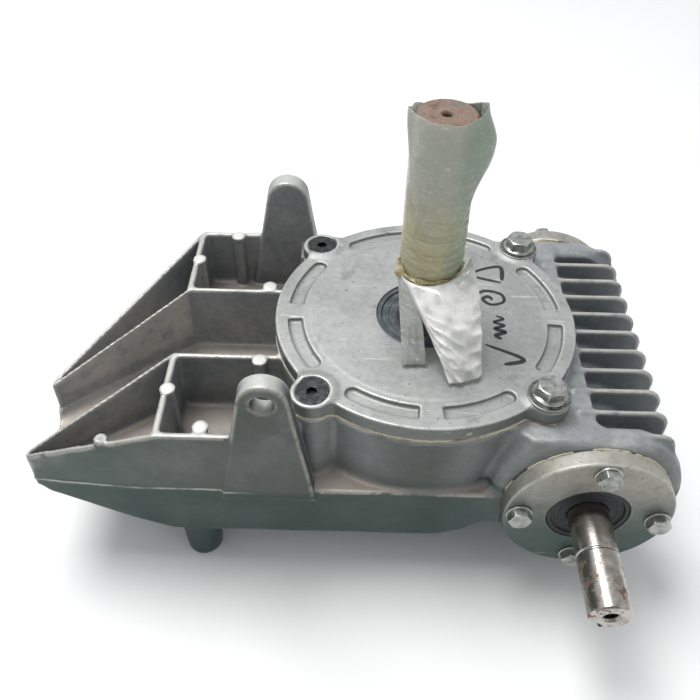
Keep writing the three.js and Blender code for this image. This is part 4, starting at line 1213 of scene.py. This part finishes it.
# Plain hand-drawn signs: a tick, a wave, a spiral and a triangle, across a 10 mm square each.
SIGNS = [
    [(-4, 1), (-1.5, -4), (5, 5)],
    [(-6, 0), (-4.2, 1.2), (-2.6, -1.2), (-1, 1.2), (0.6, -1.2), (2.2, 1.2), (3.8, -1.2), (5.4, 0.4)],
    [(0, 0), (1.6, 1.2), (0, 2.6), (-2.6, 0.6), (-1, -2.8), (3, -2.4), (4.6, 1.6), (2, 4.8)],
    [(-4.4, -3.6), (-0.2, 4.4), (4.6, -3.8), (-3.2, -4)],
]


def marker_mesh():
    """Ink strokes lying on the cover beside the shaft."""
    shape = bmesh.new()
    low, high = COVER_TOP - 0.12, COVER_TOP + 0.1
    for k, sign in enumerate(SIGNS):
        middle = Vector((49 - 1.5 * k, -37 + 26.0 * k))
        line = [middle + Vector((-2.5 * y, 1.9 * x)) for x, y in smooth_line(sign)]
        rows = []
        for i, here in enumerate(line):
            ahead = line[min(i + 1, len(line) - 1)] - line[max(i - 1, 0)]
            side = Vector((-ahead.y, ahead.x)).normalized()
            share = i / (len(line) - 1)
            width = 1.35 + 0.25 * math.sin(5 * share + k) - 0.7 * max(0, 1 - 8 * min(share, 1 - share))
            row = [(side * width, high), (-side * width, high), (-side * width, low), (side * width, low)]
            rows.append([shape.verts.new(Vector((*(here + s), z)) * MM) for s, z in row])
        for before, after in zip(rows, rows[1:]):
            for j in range(4):
                shape.faces.new((before[j], before[(j + 1) % 4], after[(j + 1) % 4], after[j]))
        shape.faces.new(rows[0])
        shape.faces.new(rows[-1])
    return finished("marker_strokes", shape)


# ---- Materials ----
class Nodes:
    """A node material whose surface is one Principled shader."""

    def __init__(self, name, **surface):
        self.material = bpy.data.materials.new(name)
        self.material.use_nodes = True
        self.tree = self.material.node_tree
        self.shader = self.tree.nodes["Principled BSDF"]
        self.place = self.add("ShaderNodeTexCoord").outputs["Object"]
        self.set(self.shader, surface)

    def fill(self, socket, value):
        """Links a socket to another, or sets it to a number, a vector or a colour's hex digits."""
        if isinstance(value, bpy.types.NodeSocket):
            self.tree.links.new(value, socket)
        else:
            socket.default_value = rgba(value) if isinstance(value, str) else value

    def set(self, node, values):
        for name, value in values.items():
            self.fill(node.inputs[name.replace("_", " ")], value)

    def add(self, kind, settings=None, **values):
        node = self.tree.nodes.new(kind)
        for name, value in (settings or {}).items():
            setattr(node, name, value)
        self.set(node, values)
        return node

    def noise(self, size, detail=4.0, roughness=0.55, stretch=None, distortion=0.0):
        """Noise from 0 to 1 whose features are about that many millimetres across."""
        place = self.place
        if stretch:
            place = self.add("ShaderNodeMapping", Vector=place, Scale=stretch).outputs[0]
        values = {"Detail": detail, "Roughness": roughness, "Distortion": distortion}
        return self.add("ShaderNodeTexNoise", Vector=place, Scale=1 / (size * MM), **values).outputs[0]

    def math(self, operation, *values, clamp=False):
        node = self.add("ShaderNodeMath", {"operation": operation, "use_clamp": clamp})
        for socket, value in zip(node.inputs, values):
            self.fill(socket, value)
        return node.outputs[0]

    def times(self, *factors):
        product = factors[0]
        for factor in factors[1:]:
            product = self.math("MULTIPLY", product, factor)
        return product

    def ramp(self, value, low, high, to_low=0.0, to_high=1.0):
        """A value stretched smoothly from one range to another and clamped there."""
        ends = {"From_Min": low, "From_Max": high, "To_Min": to_low, "To_Max": to_high}
        smooth = {"interpolation_type": "SMOOTHSTEP"}
        return self.add("ShaderNodeMapRange", smooth, Value=value, **ends).outputs[0]

    def attribute(self, name):
        return self.add("ShaderNodeAttribute", {"attribute_name": name}).outputs["Fac"]

    def axis(self, which):
        """X, Y or Z of the point being shaded, in metres."""
        return self.add("ShaderNodeSeparateXYZ", Vector=self.place).outputs[which]

    def facing(self, which):
        """X, Y or Z of the surface's own normal."""
        normal = self.add("ShaderNodeNewGeometry").outputs["Normal"]
        return self.add("ShaderNodeSeparateXYZ", Vector=normal).outputs[which]

    def mix(self, base, over, *factors):
        """A colour with another laid over it, by the product of the factors."""
        node = self.add("ShaderNodeMix", {"data_type": "RGBA"})
        values = {"Factor_Float": self.times(*factors), "A_Color": base, "B_Color": over}
        for socket in node.inputs:
            if socket.identifier in values:
                self.fill(socket, values[socket.identifier])
        return next(s for s in node.outputs if s.identifier == "Result_Color")

    def bump(self, height, depth, under=None):
        """A bump of that many millimetres at most, on top of another."""
        values = {"Height": height, "Distance": depth * MM, "Strength": 1.0}
        if under:
            values["Normal"] = under
        return self.add("ShaderNodeBump", **values).outputs[0]

    def finish(self, **values):
        self.set(self.shader, values)
        return self.material


def rgba(code):
    """A colour written as six hex digits, as the linear numbers that nodes take."""
    channels = [int(code[i : i + 2], 16) / 255 for i in (0, 2, 4)]
    linear = [c / 12.92 if c <= 0.04045 else ((c + 0.055) / 1.055) ** 2.4 for c in channels]
    return (*linear, 1.0)


def worn_edges(nodes, colour, tone, share):
    """Brightens a colour where the metal stands proud and gets rubbed."""
    edge = nodes.ramp(nodes.attribute("edge"), 0.46, 0.3)
    worn = nodes.times(edge, nodes.ramp(nodes.noise(9, 4, 0.7), 0.3, 0.52))
    return nodes.mix(colour, tone, worn, share), worn


def pocket_tones(nodes, colour, place, upward):
    """Brownish floors in the pockets, and shade in the square ones."""
    x, y, z = place
    colour = nodes.mix(colour, "b4a69a", nodes.ramp(upward, 0.5, 0.9), nodes.ramp(z, 0.064, 0.056), 0.75)
    aside = nodes.math("ABSOLUTE", y)
    lengthways = nodes.times(nodes.ramp(x, -0.162, -0.156), nodes.ramp(x, -0.085, -0.09))
    across = nodes.times(nodes.ramp(aside, 0.03, 0.034), nodes.ramp(aside, 0.0945, 0.0935))
    return nodes.mix(colour, "5e5f60", nodes.ramp(z, 0.075, 0.06), lengthways, across, 0.4)


def wall_shade_and_seam(nodes, colour, place, upward):
    """Painted shade on the front walls, in patches, painted green reflection and shade low down and at the
    nose, and the bright line of the mould's joint.
    """
    x, y, z = place
    outer = nodes.times(nodes.ramp(y, -0.0875, -0.0945), nodes.ramp(x, 0.035, 0.0))
    outer = nodes.times(outer, nodes.ramp(upward, 0.8, 0.3))
    # painted shade on the front walls, broken into patches
    front_shade_patches = nodes.ramp(nodes.noise(30, 4, 0.6), 0.3, 0.6, 0.7, 1.0)
    colour = nodes.mix(colour, "3d453e", outer, front_shade_patches, 0.87)
    # painted green reflection and shade, stronger towards the nose
    colour = nodes.mix(colour, "2f524d", outer, nodes.ramp(x, -0.14, -0.21, 0.0, 0.45))
    # painted shade on the bowl's faces that look forward, below its flange
    bowl = nodes.times(nodes.ramp(y, -0.05, -0.085), nodes.ramp(nodes.facing(1), -0.2, -0.8))
    colour = nodes.mix(colour, "59605c", bowl, nodes.ramp(z, 0.1, 0.097), 0.45)
    # painted shade and green reflection low on the walls, below the mould's joint, strongest at the front
    under_neck = nodes.math("SUBTRACT", z, nodes.ramp(x, 0.02, 0.045, 0.0, 0.009))
    low = nodes.times(nodes.ramp(under_neck, 0.0485, 0.046), nodes.ramp(upward, 0.6, 0.2))
    cloud = nodes.ramp(nodes.noise(34, 4, 0.6), 0.3, 0.6, 0.75, 1.0)
    colour = nodes.mix(colour, "2f4741", low, nodes.ramp(y, -0.04, -0.09, 0.3, 0.82), cloud)
    seam = nodes.times(nodes.ramp(z, 0.0462, 0.0468), nodes.ramp(z, 0.0482, 0.0476), outer)
    broken = nodes.ramp(nodes.noise(14, 3), 0.4, 0.6, 0.2, 0.75)
    return nodes.mix(colour, "c4c6c2", seam, nodes.ramp(x, -0.1, -0.13), broken)


def rim_highlights(nodes, colour, place, upward):
    """Painted highlights on the upward rims round the pockets and on the ejector posts."""
    x, y, z = place
    arms = nodes.ramp(x, -0.06, -0.09)
    # painted highlight along the tops of the rims
    rim = nodes.times(nodes.ramp(z, 0.0976, 0.0983), nodes.ramp(upward, 0.6, 0.9), arms)
    colour = nodes.mix(colour, "c3c3bf", rim, nodes.ramp(y, -0.0992, -0.0985), 0.7)
    # painted highlight on the tops of the ejector posts
    disc_highlight = nodes.times(nodes.ramp(z, 0.0986, 0.0989), nodes.ramp(z, 0.102, 0.1), arms)
    return nodes.mix(colour, "d2d2ce", disc_highlight, nodes.ramp(upward, 0.3, 0.7))


def fin_shade(nodes, colour, place):
    """Painted shade on the sides of the cooling fins, down between them."""
    x, y, z = place
    inner = nodes.ramp(nodes.math("ABSOLUTE", y), 0.0895, 0.0865)
    # painted shade in the gaps between the fins, below their tops
    return nodes.mix(colour, "555d66", nodes.ramp(x, 0.084, 0.09), nodes.ramp(z, 0.097, 0.0945), inner, 0.45)


def housing_metal(name):
    """Raw cast aluminium, with bluish painted shade in its pockets, painted shade and green reflection on
    its front walls and painted highlights on its rims.
    """
    nodes = Nodes(name, Metallic=0.3)
    patches = nodes.noise(42, 5, 0.6)
    mottle = nodes.noise(6, 5, 0.65)
    tone = nodes.math("MULTIPLY_ADD", mottle, 0.4, nodes.times(patches, 0.6))
    colour = nodes.mix("83878a", "a1a3a2", nodes.ramp(tone, 0.36, 0.64))
    place = [nodes.axis(k) for k in range(3)]
    upward = nodes.facing(2)
    colour = pocket_tones(nodes, colour, place, upward)
    colour = wall_shade_and_seam(nodes, colour, place, upward)
    # darker in the crevices: painted shade, with some soiling
    crevice_dirt_and_shade = nodes.times(nodes.ramp(nodes.attribute("crevice"), 0.6, 0.84), nodes.ramp(mottle, 0.3, 0.6))
    colour = nodes.mix(colour, "4b4a46", crevice_dirt_and_shade, 0.35)
    colour = rim_highlights(nodes, colour, place, upward)
    colour = fin_shade(nodes, colour, place)
    colour, worn = worn_edges(nodes, colour, "c6c2ba", 0.6)
    colour = nodes.mix(colour, "4d4a45", nodes.ramp(nodes.noise(2.2, 2, 0.5), 0.69, 0.74), 0.5)
    rough = nodes.math("MULTIPLY_ADD", worn, -0.2, nodes.ramp(patches, 0.3, 0.7, 0.42, 0.6))
    bump = nodes.bump(nodes.noise(0.9, 3, 0.6), 0.22, nodes.bump(mottle, 0.25))
    return nodes.finish(Base_Color=colour, Roughness=rough, Normal=bump)


def cast_metal(name, dark, light, stain_and_shade, sand, side_shade_share=0.0):
    """Cleaner cast aluminium: stained, scratched and worn bright on its edges, with painted shade in its
    crevices and on its steep sides and painted green reflection low down.
    """
    nodes = Nodes(name, Metallic=0.5)
    patches = nodes.noise(38, 5, 0.6)
    mottle = nodes.noise(5, 5, 0.65)
    tone = nodes.math("MULTIPLY_ADD", mottle, 0.5, nodes.times(patches, 0.5))
    colour = nodes.mix(dark, light, nodes.ramp(tone, 0.36, 0.64))
    # darker in the crevices: painted shade, with some soiling
    crevice_dirt_and_shade = nodes.times(nodes.ramp(nodes.attribute("crevice"), 0.5, 0.78), nodes.ramp(mottle, 0.3, 0.6))
    colour = nodes.mix(colour, stain_and_shade, crevice_dirt_and_shade, 0.6)
    colour, worn = worn_edges(nodes, colour, "dddcd8", 0.6)
    # painted shade on steep sides
    steep_side_shade = nodes.ramp(nodes.math("ABSOLUTE", nodes.facing(2)), 0.6, 0.3)
    colour = nodes.mix(colour, "5c615c", steep_side_shade, side_shade_share)
    # painted green reflection and shade low down
    colour = nodes.mix(colour, "35504b", nodes.ramp(nodes.axis(2), 0.085, 0.025), 0.88)
    scratches = nodes.ramp(nodes.noise(5, 3, 0.6, (0.12, 1.6, 1), 0.6), 0.66, 0.7)
    colour = nodes.mix(colour, "e4e3df", scratches, 0.4)
    colour = nodes.mix(colour, "4d4a45", nodes.ramp(nodes.noise(2.2, 2, 0.5), 0.67, 0.72), 0.7)
    colour = nodes.mix(colour, stain_and_shade, nodes.ramp(nodes.noise(24, 6, 0.7), 0.56, 0.7), 0.35)
    rough = nodes.math("MULTIPLY_ADD", worn, -0.15, nodes.ramp(patches, 0.3, 0.7, 0.4, 0.55))
    bump = nodes.bump(nodes.noise(sand, 3, 0.6), 0.12, nodes.bump(mottle, 0.15))
    return nodes.finish(Base_Color=colour, Roughness=rough, Normal=bump)


def machined_steel(name, tone, dark, rust, rust_from=None):
    """Ground steel with turning marks, oil stains and some rust from one Y to another."""
    nodes = Nodes(name, Metallic=1.0)
    lines = nodes.noise(0.5, 3, 0.7, (0.03, 1, 0.03) if rust_from else (0.03, 0.03, 1))
    stains = nodes.noise(14, 5, 0.65)
    colour = nodes.mix(dark, tone, nodes.ramp(stains, 0.36, 0.56))
    colour = nodes.mix(colour, "f1efec", nodes.ramp(lines, 0.5, 0.8), 0.25)
    spots = nodes.ramp(nodes.noise(9, 6, 0.7), 0.54, 0.62)
    if rust_from:
        near, far = (value * MM for value in rust_from)
        spots = nodes.times(spots, nodes.ramp(nodes.axis(1), near, far))
    rusty = nodes.times(spots, rust)
    colour = nodes.mix(colour, "6b4632", rusty)
    rough = nodes.math("MULTIPLY_ADD", rusty, 0.4, nodes.ramp(stains, 0.3, 0.7, 0.3, 0.16))
    metal = nodes.math("SUBTRACT", 1.0, nodes.times(rusty, 0.6))
    bump = nodes.bump(lines, 0.02, nodes.bump(spots, 0.05))
    return nodes.finish(Base_Color=colour, Roughness=rough, Metallic=metal, Normal=bump)


def rusty_steel(name):
    """A turned shaft under a skin of fine red-brown rust, with bare steel showing through."""
    nodes = Nodes(name)
    lines = nodes.noise(0.8, 3, 0.7, (0.04, 0.04, 1))
    patches = nodes.noise(11, 5, 0.6)
    grains = nodes.noise(1.6, 4, 0.7)
    colour = nodes.mix("6f594c", "8f786a", nodes.ramp(grains, 0.3, 0.7))
    colour = nodes.mix(colour, "563c31", nodes.ramp(patches, 0.55, 0.75))
    bare = nodes.ramp(nodes.math("MULTIPLY_ADD", lines, 0.4, patches), 0.5, 0.74, 1.0, 0.0)
    colour = nodes.mix(colour, "9b9690", bare, 0.5)
    colour = nodes.mix(colour, "4a2f25", nodes.ramp(nodes.noise(1.2, 2), 0.66, 0.72), 0.7)
    rough = nodes.ramp(bare, 0, 1, 0.62, 0.4)
    metal = nodes.ramp(bare, 0, 1, 0.25, 0.85)
    bump = nodes.bump(grains, 0.06, nodes.bump(lines, 0.03))
    return nodes.finish(Base_Color=colour, Roughness=rough, Metallic=metal, Normal=bump)


def zinc_steel(name, dark, light):
    """Dull zinc plating with a faint warm cast, darker where the forms meet by painted shade with some
    soiling.
    """
    nodes = Nodes(name, Metallic=0.9)
    cloud = nodes.noise(4, 4, 0.6)
    colour = nodes.mix(dark, light, nodes.ramp(cloud, 0.35, 0.65))
    # darker where the forms meet: painted shade, with some soiling
    grime_and_shade = nodes.times(nodes.ramp(nodes.attribute("crevice"), 0.52, 0.72), 0.8)
    colour = nodes.mix(colour, "3c3b36", grime_and_shade)
    colour = nodes.mix(colour, "e9e8e3", nodes.ramp(nodes.attribute("edge"), 0.45, 0.3), 0.6)
    rough = nodes.math("MULTIPLY_ADD", grime_and_shade, 0.3, nodes.ramp(cloud, 0.3, 0.7, 0.26, 0.4))
    return nodes.finish(Base_Color=colour, Roughness=rough, Normal=nodes.bump(nodes.noise(0.9, 3), 0.03))


def black_oxide(name):
    """Black screws, rubbed grey on their edges."""
    nodes = Nodes(name, Metallic=0.6)
    cloud = nodes.noise(3, 4, 0.6)
    colour = nodes.mix("2b2d2e", "45494a", nodes.ramp(cloud, 0.35, 0.7))
    edge = nodes.ramp(nodes.attribute("edge"), 0.45, 0.3)
    colour = nodes.mix(colour, "8b8c8a", edge, nodes.ramp(cloud, 0.4, 0.6), 0.5)
    rough = nodes.ramp(cloud, 0.3, 0.7, 0.36, 0.52)
    return nodes.finish(Base_Color=colour, Roughness=rough, Normal=nodes.bump(nodes.noise(0.7, 3), 0.03))


def rubber(name, dark, light):
    """Seal rubber under a little dust."""
    nodes = Nodes(name, Metallic=0.0)
    dust = nodes.noise(6, 5, 0.65)
    colour = nodes.mix(dark, light, nodes.ramp(dust, 0.42, 0.72))
    rough = nodes.ramp(dust, 0.3, 0.7, 0.38, 0.6)
    return nodes.finish(Base_Color=colour, Roughness=rough, Normal=nodes.bump(nodes.noise(1.0, 3), 0.03))


def gasket_paper(name):
    """Cream paper, darker where oil has soaked in."""
    nodes = Nodes(name, Metallic=0.0)
    fibres = nodes.noise(1.5, 4, 0.7)
    oil = nodes.noise(22, 3)
    colour = nodes.mix("cdc6aa", "e6e0c8", nodes.ramp(fibres, 0.3, 0.7))
    colour = nodes.mix(colour, "7d7557", nodes.ramp(oil, 0.52, 0.72))
    rough = nodes.ramp(oil, 0.4, 0.7, 0.85, 0.5)
    return nodes.finish(Base_Color=colour, Roughness=rough, Normal=nodes.bump(fibres, 0.1))


def gear_metal(name, dark, light, rough, metallic):
    """Bronze or iron of the gear train, machined and under a film of oil."""
    nodes = Nodes(name, Metallic=metallic, Coat_Weight=0.4, Coat_Roughness=0.15)
    cloud = nodes.noise(9, 4, 0.6)
    marks = nodes.noise(0.7, 3, 0.7, (0.05, 0.05, 1))
    colour = nodes.mix(dark, light, nodes.ramp(cloud, 0.35, 0.65))
    return nodes.finish(Base_Color=colour, Roughness=rough, Normal=nodes.bump(marks, 0.03))


def clear_film(name, thin, yellow, alpha):
    """Crinkled see-through film, yellower where tape is wound over it low down, with painted green
    reflection and shade towards +X.
    """
    nodes = Nodes(name, Metallic=0.0, IOR=1.5, Coat_Weight=0.5, Coat_Roughness=0.12)
    low = nodes.ramp(nodes.axis(2), 0.222, 0.178)
    cloud = nodes.noise(16, 4, 0.6)
    creased = nodes.noise(5, 5, 0.75, (1, 1, 2.2), 1.5)
    share = nodes.times(low, nodes.ramp(cloud, 0.25, 0.6, 0.55, 1.0))
    colour = nodes.mix(thin, yellow, share)
    # painted green reflection and shade on the film's side towards +X
    colour = nodes.mix(colour, "7f9c84", nodes.ramp(nodes.axis(0), 0.002, 0.016), 0.6)
    streak = nodes.ramp(creased, 0.56, 0.66)
    colour = nodes.mix(colour, "f1f0e4", streak, 0.5)
    bands = nodes.ramp(nodes.noise(3.2, 2, 0.5, (0.06, 0.06, 1)), 0.56, 0.62)
    colour = nodes.mix(colour, "8f8a62", bands, low, 0.3)
    see = nodes.math("MULTIPLY_ADD", share, 0.22, alpha)
    see = nodes.math("MULTIPLY_ADD", streak, 0.15, see, clamp=True)
    rough = nodes.ramp(cloud, 0.3, 0.7, 0.2, 0.36)
    bump = nodes.bump(creased, 0.5, nodes.bump(nodes.noise(2.5, 3, 0.6, None, 1.0), 0.15))
    return nodes.finish(Base_Color=colour, Roughness=rough, Alpha=see, Normal=bump)


def white_film(name):
    """Milky, glossy film in sharp crumples."""
    nodes = Nodes(name, Metallic=0.0, IOR=1.5, Coat_Weight=0.6, Coat_Roughness=0.08)
    crumple = nodes.noise(6, 5, 0.7, None, 2.0)
    colour = nodes.mix("c3c4c1", "eceae6", nodes.ramp(nodes.noise(12, 4, 0.6), 0.32, 0.62))
    rough = nodes.ramp(crumple, 0.3, 0.7, 0.16, 0.34)
    return nodes.finish(Base_Color=colour, Roughness=rough, Normal=nodes.bump(crumple, 0.3))


def twisted_film(name):
    """Brownish packing film, with painted shade in the hollows between its strands."""
    nodes = Nodes(name, Metallic=0.0, Coat_Weight=0.5, Coat_Roughness=0.15)
    strands = nodes.noise(2.2, 5, 0.7, (1, 1, 2.5), 1.0)
    # darker in the hollows of the bump: painted shade
    colour = nodes.mix("6f5f3c", "c0b68c", nodes.ramp(strands, 0.35, 0.62))
    return nodes.finish(Base_Color=colour, Roughness=0.3, Normal=nodes.bump(strands, 0.4))


def marker_ink(name):
    nodes = Nodes(name, Metallic=0.0)
    dry = nodes.noise(2.0, 4, 0.7)
    colour = nodes.mix("191a1c", "3a3b3d", nodes.ramp(dry, 0.5, 0.7))
    return nodes.finish(Base_Color=colour, Roughness=nodes.ramp(dry, 0.3, 0.7, 0.35, 0.6))


# ---- Camera, floor and light ----
def aimed(name, data, place, aim, roll=0.0):
    """An object in the scene that looks from one place to another."""
    thing = shown(name, data)
    thing.location = Vector(place)
    thing.rotation_mode = "QUATERNION"
    level = (Vector(aim) - Vector(place)).to_track_quat("-Z", "Y")
    thing.rotation_quaternion = level @ Quaternion((0, 0, 1), roll)
    return thing


def make_camera():
    """The photograph's view: from the front, above and a little left, 45 degrees down."""
    lens = bpy.data.cameras.new("camera")
    lens.sensor_width = 36.0
    lens.lens = 40.25
    lens.clip_start = 0.01
    eye, aim = Vector((-47.7, -377.0, 455.2)) * MM, Vector((-48.1, -35.4, 110.0)) * MM
    bpy.context.scene.camera = aimed("camera", lens, eye, aim, math.radians(1.37))


def make_floor():
    """A pale floor at the feet, wide enough to fill the view."""
    half, low = 6.0, FOOT_BOTTOM * MM
    mesh = bpy.data.meshes.new("floor")
    corners = [(-half, -half, low), (half, -half, low), (half, half, low), (-half, half, low)]
    mesh.from_pydata(corners, [], [(0, 1, 2, 3)])
    nodes = Nodes("floor_paper", Roughness=0.9, Metallic=0.0)
    tone = nodes.ramp(nodes.noise(400, 2), 0.2, 0.8)
    mesh.materials.append(nodes.finish(Base_Color=nodes.mix("f2f3f2", "f7f7f6", tone)))
    shown("floor", mesh)


def soft_box(name, place, size, watts):
    lamp = bpy.data.lights.new(name, "AREA")
    lamp.shape = "DISK"
    lamp.size = size
    lamp.energy = watts
    aimed(name, lamp, place, (-0.03, 0, 0.08))


def make_sky():
    """Soft light all round, strongest from above and behind, so that front walls stay darker."""
    world = bpy.data.worlds.new("studio")
    world.use_nodes = True
    tree = world.node_tree
    background = tree.nodes["Background"]
    split = tree.nodes.new("ShaderNodeSeparateXYZ")
    tree.links.new(tree.nodes.new("ShaderNodeTexCoord").outputs["Generated"], split.inputs[0])
    total = tree.nodes.new("ShaderNodeMath")
    total.operation = "MULTIPLY_ADD"
    tree.links.new(split.outputs["Y"], total.inputs[0])
    total.inputs[1].default_value = 0.3
    total.inputs[2].default_value = 0.62
    tree.links.new(total.outputs[0], background.inputs["Strength"])
    background.inputs["Color"].default_value = rgba("eef1f4")
    bpy.context.scene.world = world


make_camera()
make_floor()
soft_box("key", (-0.5, 0.3, 1.7), 1.0, 27)
soft_box("fill", (1.3, -1.1, 1.1), 1.5, 3)
make_sky()
bpy.context.scene.view_settings.view_transform = "Standard"

# ---- The pieces on their bodies ----
VOXEL = 1.25
COVER_VOXEL = 0.8
GASKET_VOXEL = 0.7
CASE, OUTPUT, WORM = "gearbox_case", "output", "worm"

raw = housing_metal("cast_aluminium_raw")
bright = cast_metal("cast_aluminium_bright", "979997", "a9aba9", "55534d", 0.7, 0.75)
end_metal = cast_metal("cast_aluminium_end", "96948e", "aeaba1", "4b4740", 0.8)
paper = gasket_paper("gasket_paper")
zinc = zinc_steel("zinc_plated_steel", "8c8f8b", "b4b5b0")
# a darker copy of the zinc: painted shade on the cover washers under the bolt heads
shaded_zinc = zinc_steel("zinc_plated_steel_shaded", "5d5f5c", "858782")
black = black_oxide("black_oxide_steel")
output_rubber = rubber("seal_rubber_output", "3a4448", "5d686b")
input_rubber = rubber("seal_rubber_input", "0f1315", "23292b")
rusty = rusty_steel("rusted_shaft_steel")
ground = machined_steel("ground_shaft_steel", "bdb8b2", "948c84", 0.9, (-136, -148))
race_steel = machined_steel("bearing_steel", "c3c6c8", "9aa0a4", 0.0)
iron = gear_metal("grey_iron", "46484a", "5f6163", 0.5, 0.7)
bronze = gear_metal("gear_bronze", "8f6f3a", "b8924c", 0.35, 0.95)
film = clear_film("clear_film", "c3c5b8", "c4bd93", 0.66)
tail_film = clear_film("clear_film_tail", "b4b6b4", "b4b6b4", 0.5)
milky = white_film("white_film")
tie_film = twisted_film("packing_tape")
ink = marker_ink("marker_ink")


def show_castings():
    piece("housing_casting", housing_mesh(VOXEL), CASE, "cast_aluminium_raw", raw, "housing")
    piece("cover_casting", cover_mesh(COVER_VOXEL), CASE, "cast_aluminium_bright", bright, "main_cover")
    ring = gasket_mesh(GASKET_VOXEL)
    piece("cover_gasket_paper", ring, CASE, "gasket_paper", paper, "cover_gasket")
    for end in ("input", "rear"):
        cover = end_cover_mesh(f"{end}_cover_casting", end == "input", COVER_VOXEL)
        gasket = end_gasket_mesh(f"{end}_gasket_paper", GASKET_VOXEL)
        if end == "rear":
            cover, gasket = to_rear(cover), to_rear(gasket)
        piece(f"{end}_cover_casting", cover, CASE, "cast_aluminium_end", end_metal, f"{end}_cover")
        piece(f"{end}_gasket_paper", gasket, CASE, "gasket_paper", paper, f"{end}_gasket")


def fastener(node, mesh, turn, place, slot="zinc_plated_steel", material=zinc):
    """Shows a fastener of the case, stood where it belongs, for the node of its own name."""
    piece(f"{node}_steel", moved(mesh, turn, place), CASE, slot, material, node)


HEAD_TURNS = [10, 24, 3, 16]
WASHER_HEIGHT = {"end": 1.6, "cover": 2.0}


def show_end_bolts(end, side):
    outward = Matrix.Rotation(math.radians(90 * -side), 3, "X")
    face, washer = side * END_COVER_Y, WASHER_HEIGHT["end"]
    for k, (x, z) in enumerate(end_bolt_places(side)):
        bolt, ring = f"{end}_bolt_{k + 1}", f"{end}_washer_{k + 1}"
        head = bolt_mesh(f"{bolt}_steel", 13.0, 5.4, HEAD_TURNS[k] - 90 * k)
        fastener(bolt, head, outward, (x, face + side * washer, z))
        fastener(ring, washer_mesh(f"{ring}_steel", 4.3, 8.0, washer), outward, (x, face, z))


def show_cover_fasteners():
    upright, washer = Matrix.Identity(3), WASHER_HEIGHT["cover"]
    for x, y in SCREWS:
        end, side = ("front", -1) if y < 0 else ("rear", 1)
        place = (x, y, COVER_TOP)
        if x < 0:
            screw = screw_mesh(f"cover_screw_{end}_steel", 20 * side)
            fastener(f"cover_screw_{end}", screw, upright, place, "black_oxide_steel", black)
            continue
        ring = washer_mesh(f"cover_washer_{end}_steel", 5.3, 13.3, washer)
        # the darker zinc here is painted shade under the bolt head
        fastener(f"cover_washer_{end}", ring, upright, place, material=shaded_zinc)
        head = bolt_mesh(f"cover_bolt_{end}_steel", 16.0, 8.2, 12 if side < 0 else -8, 10.5)
        fastener(f"cover_bolt_{end}", head, upright, (x, y, COVER_TOP + washer))


def show_oil_plug():
    plug = bolt_mesh("oil_plug_steel", 17.0, mm_box("oil_plug")[1][1] - SIDE_Y, 8, 12.0)
    backward = Matrix.Rotation(math.radians(-90), 3, "X")
    fastener("oil_plug", plug, backward, (OIL_PLUG_X, SIDE_Y, OIL_PLUG_Z))


def show_seals():
    output = seal_mesh("output_seal_rubber", OUTPUT_R + 0.3, SEAL_R, COVER_TOP - 10.5, COVER_TOP - 1)
    piece("output_seal_rubber", output, CASE, "seal_rubber", output_rubber, "output_seal")
    back, front = -END_COVER_Y + 9.5, -END_COVER_Y + 1
    seal = seal_mesh("input_seal_rubber", INPUT_R + 0.3, INPUT_SEAL_R, back, front, "y", WORM_LINE)
    piece("input_seal_rubber", seal, CASE, "seal_rubber", input_rubber, "input_seal")


def show_bearings():
    upright = (OUTPUT_R, BEARING_R, 17.0, 5.5, 9)
    level = (INPUT_R, 31.0, 17.0, 5.7, 8)
    places = {
        "upper": (upright, 80.5, "z", (0.0, 0.0), OUTPUT),
        "lower": (upright, 8.3, "z", (0.0, 0.0), OUTPUT),
        "front_worm": (level, -95.0, "y", WORM_LINE, WORM),
        "rear_worm": (level, 78.0, "y", WORM_LINE, WORM),
    }
    for which, (sizes, start, along, centre, shaft) in places.items():
        name = f"{which}_bearing"
        meshes = bearing_meshes(name, *sizes, start, along, centre)
        bodies = (CASE, shaft, f"{which}_cage")
        for mesh, part, body in zip(meshes, ("outer_race", "inner_race", "ball_cage"), bodies):
            piece(f"{name}_{part}_steel", mesh, body, "bearing_steel", race_steel, f"{name}_{part}")


def show_gear_train():
    piece("output_shaft_steel", output_shaft_mesh(), OUTPUT, "rusted_shaft_steel", rusty, "output_shaft")
    piece("worm_shaft_steel", worm_shaft_mesh(), WORM, "ground_shaft_steel", ground, "worm_shaft")
    piece("wheel_rim_bronze", wheel_rim_mesh(), OUTPUT, "gear_bronze", bronze, "wheel_rim")
    piece("wheel_hub_iron", wheel_hub_mesh(), OUTPUT, "grey_iron", iron, "wheel_hub")
    spacer = [(OUTPUT_R + 0.3, 25.6), (24, 25.6), (24, 30.7), (OUTPUT_R + 0.3, 30.7)]
    ring = turned_mesh("lower_spacer_steel", spacer)
    piece("lower_spacer_steel", ring, OUTPUT, "ground_shaft_steel", race_steel, "lower_spacer")
    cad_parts["wheel_key"].data.materials.clear()
    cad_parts["wheel_key"].data.materials.append(race_steel)


def show_wrapping():
    wrap = piece("film_wrap", film_wrap_mesh(), OUTPUT, "clear_film", film, "shaft_film")
    piece("film_tie_cord", film_tie_mesh(), OUTPUT, "packing_tape", tie_film, "film_tie")
    white = piece("tail_white", white_tail_mesh(), OUTPUT, "white_film", milky, "film_tail_white")
    clear = piece("tail_clear", clear_tail_mesh(), OUTPUT, "clear_film", tail_film, "film_tail_clear")
    piece("marker_strokes", marker_mesh(), CASE, "cast_aluminium_bright", ink)


show_castings()
show_end_bolts("input", -1)
show_end_bolts("rear", 1)
show_cover_fasteners()
show_oil_plug()
show_seals()
show_bearings()
show_gear_train()
show_wrapping()
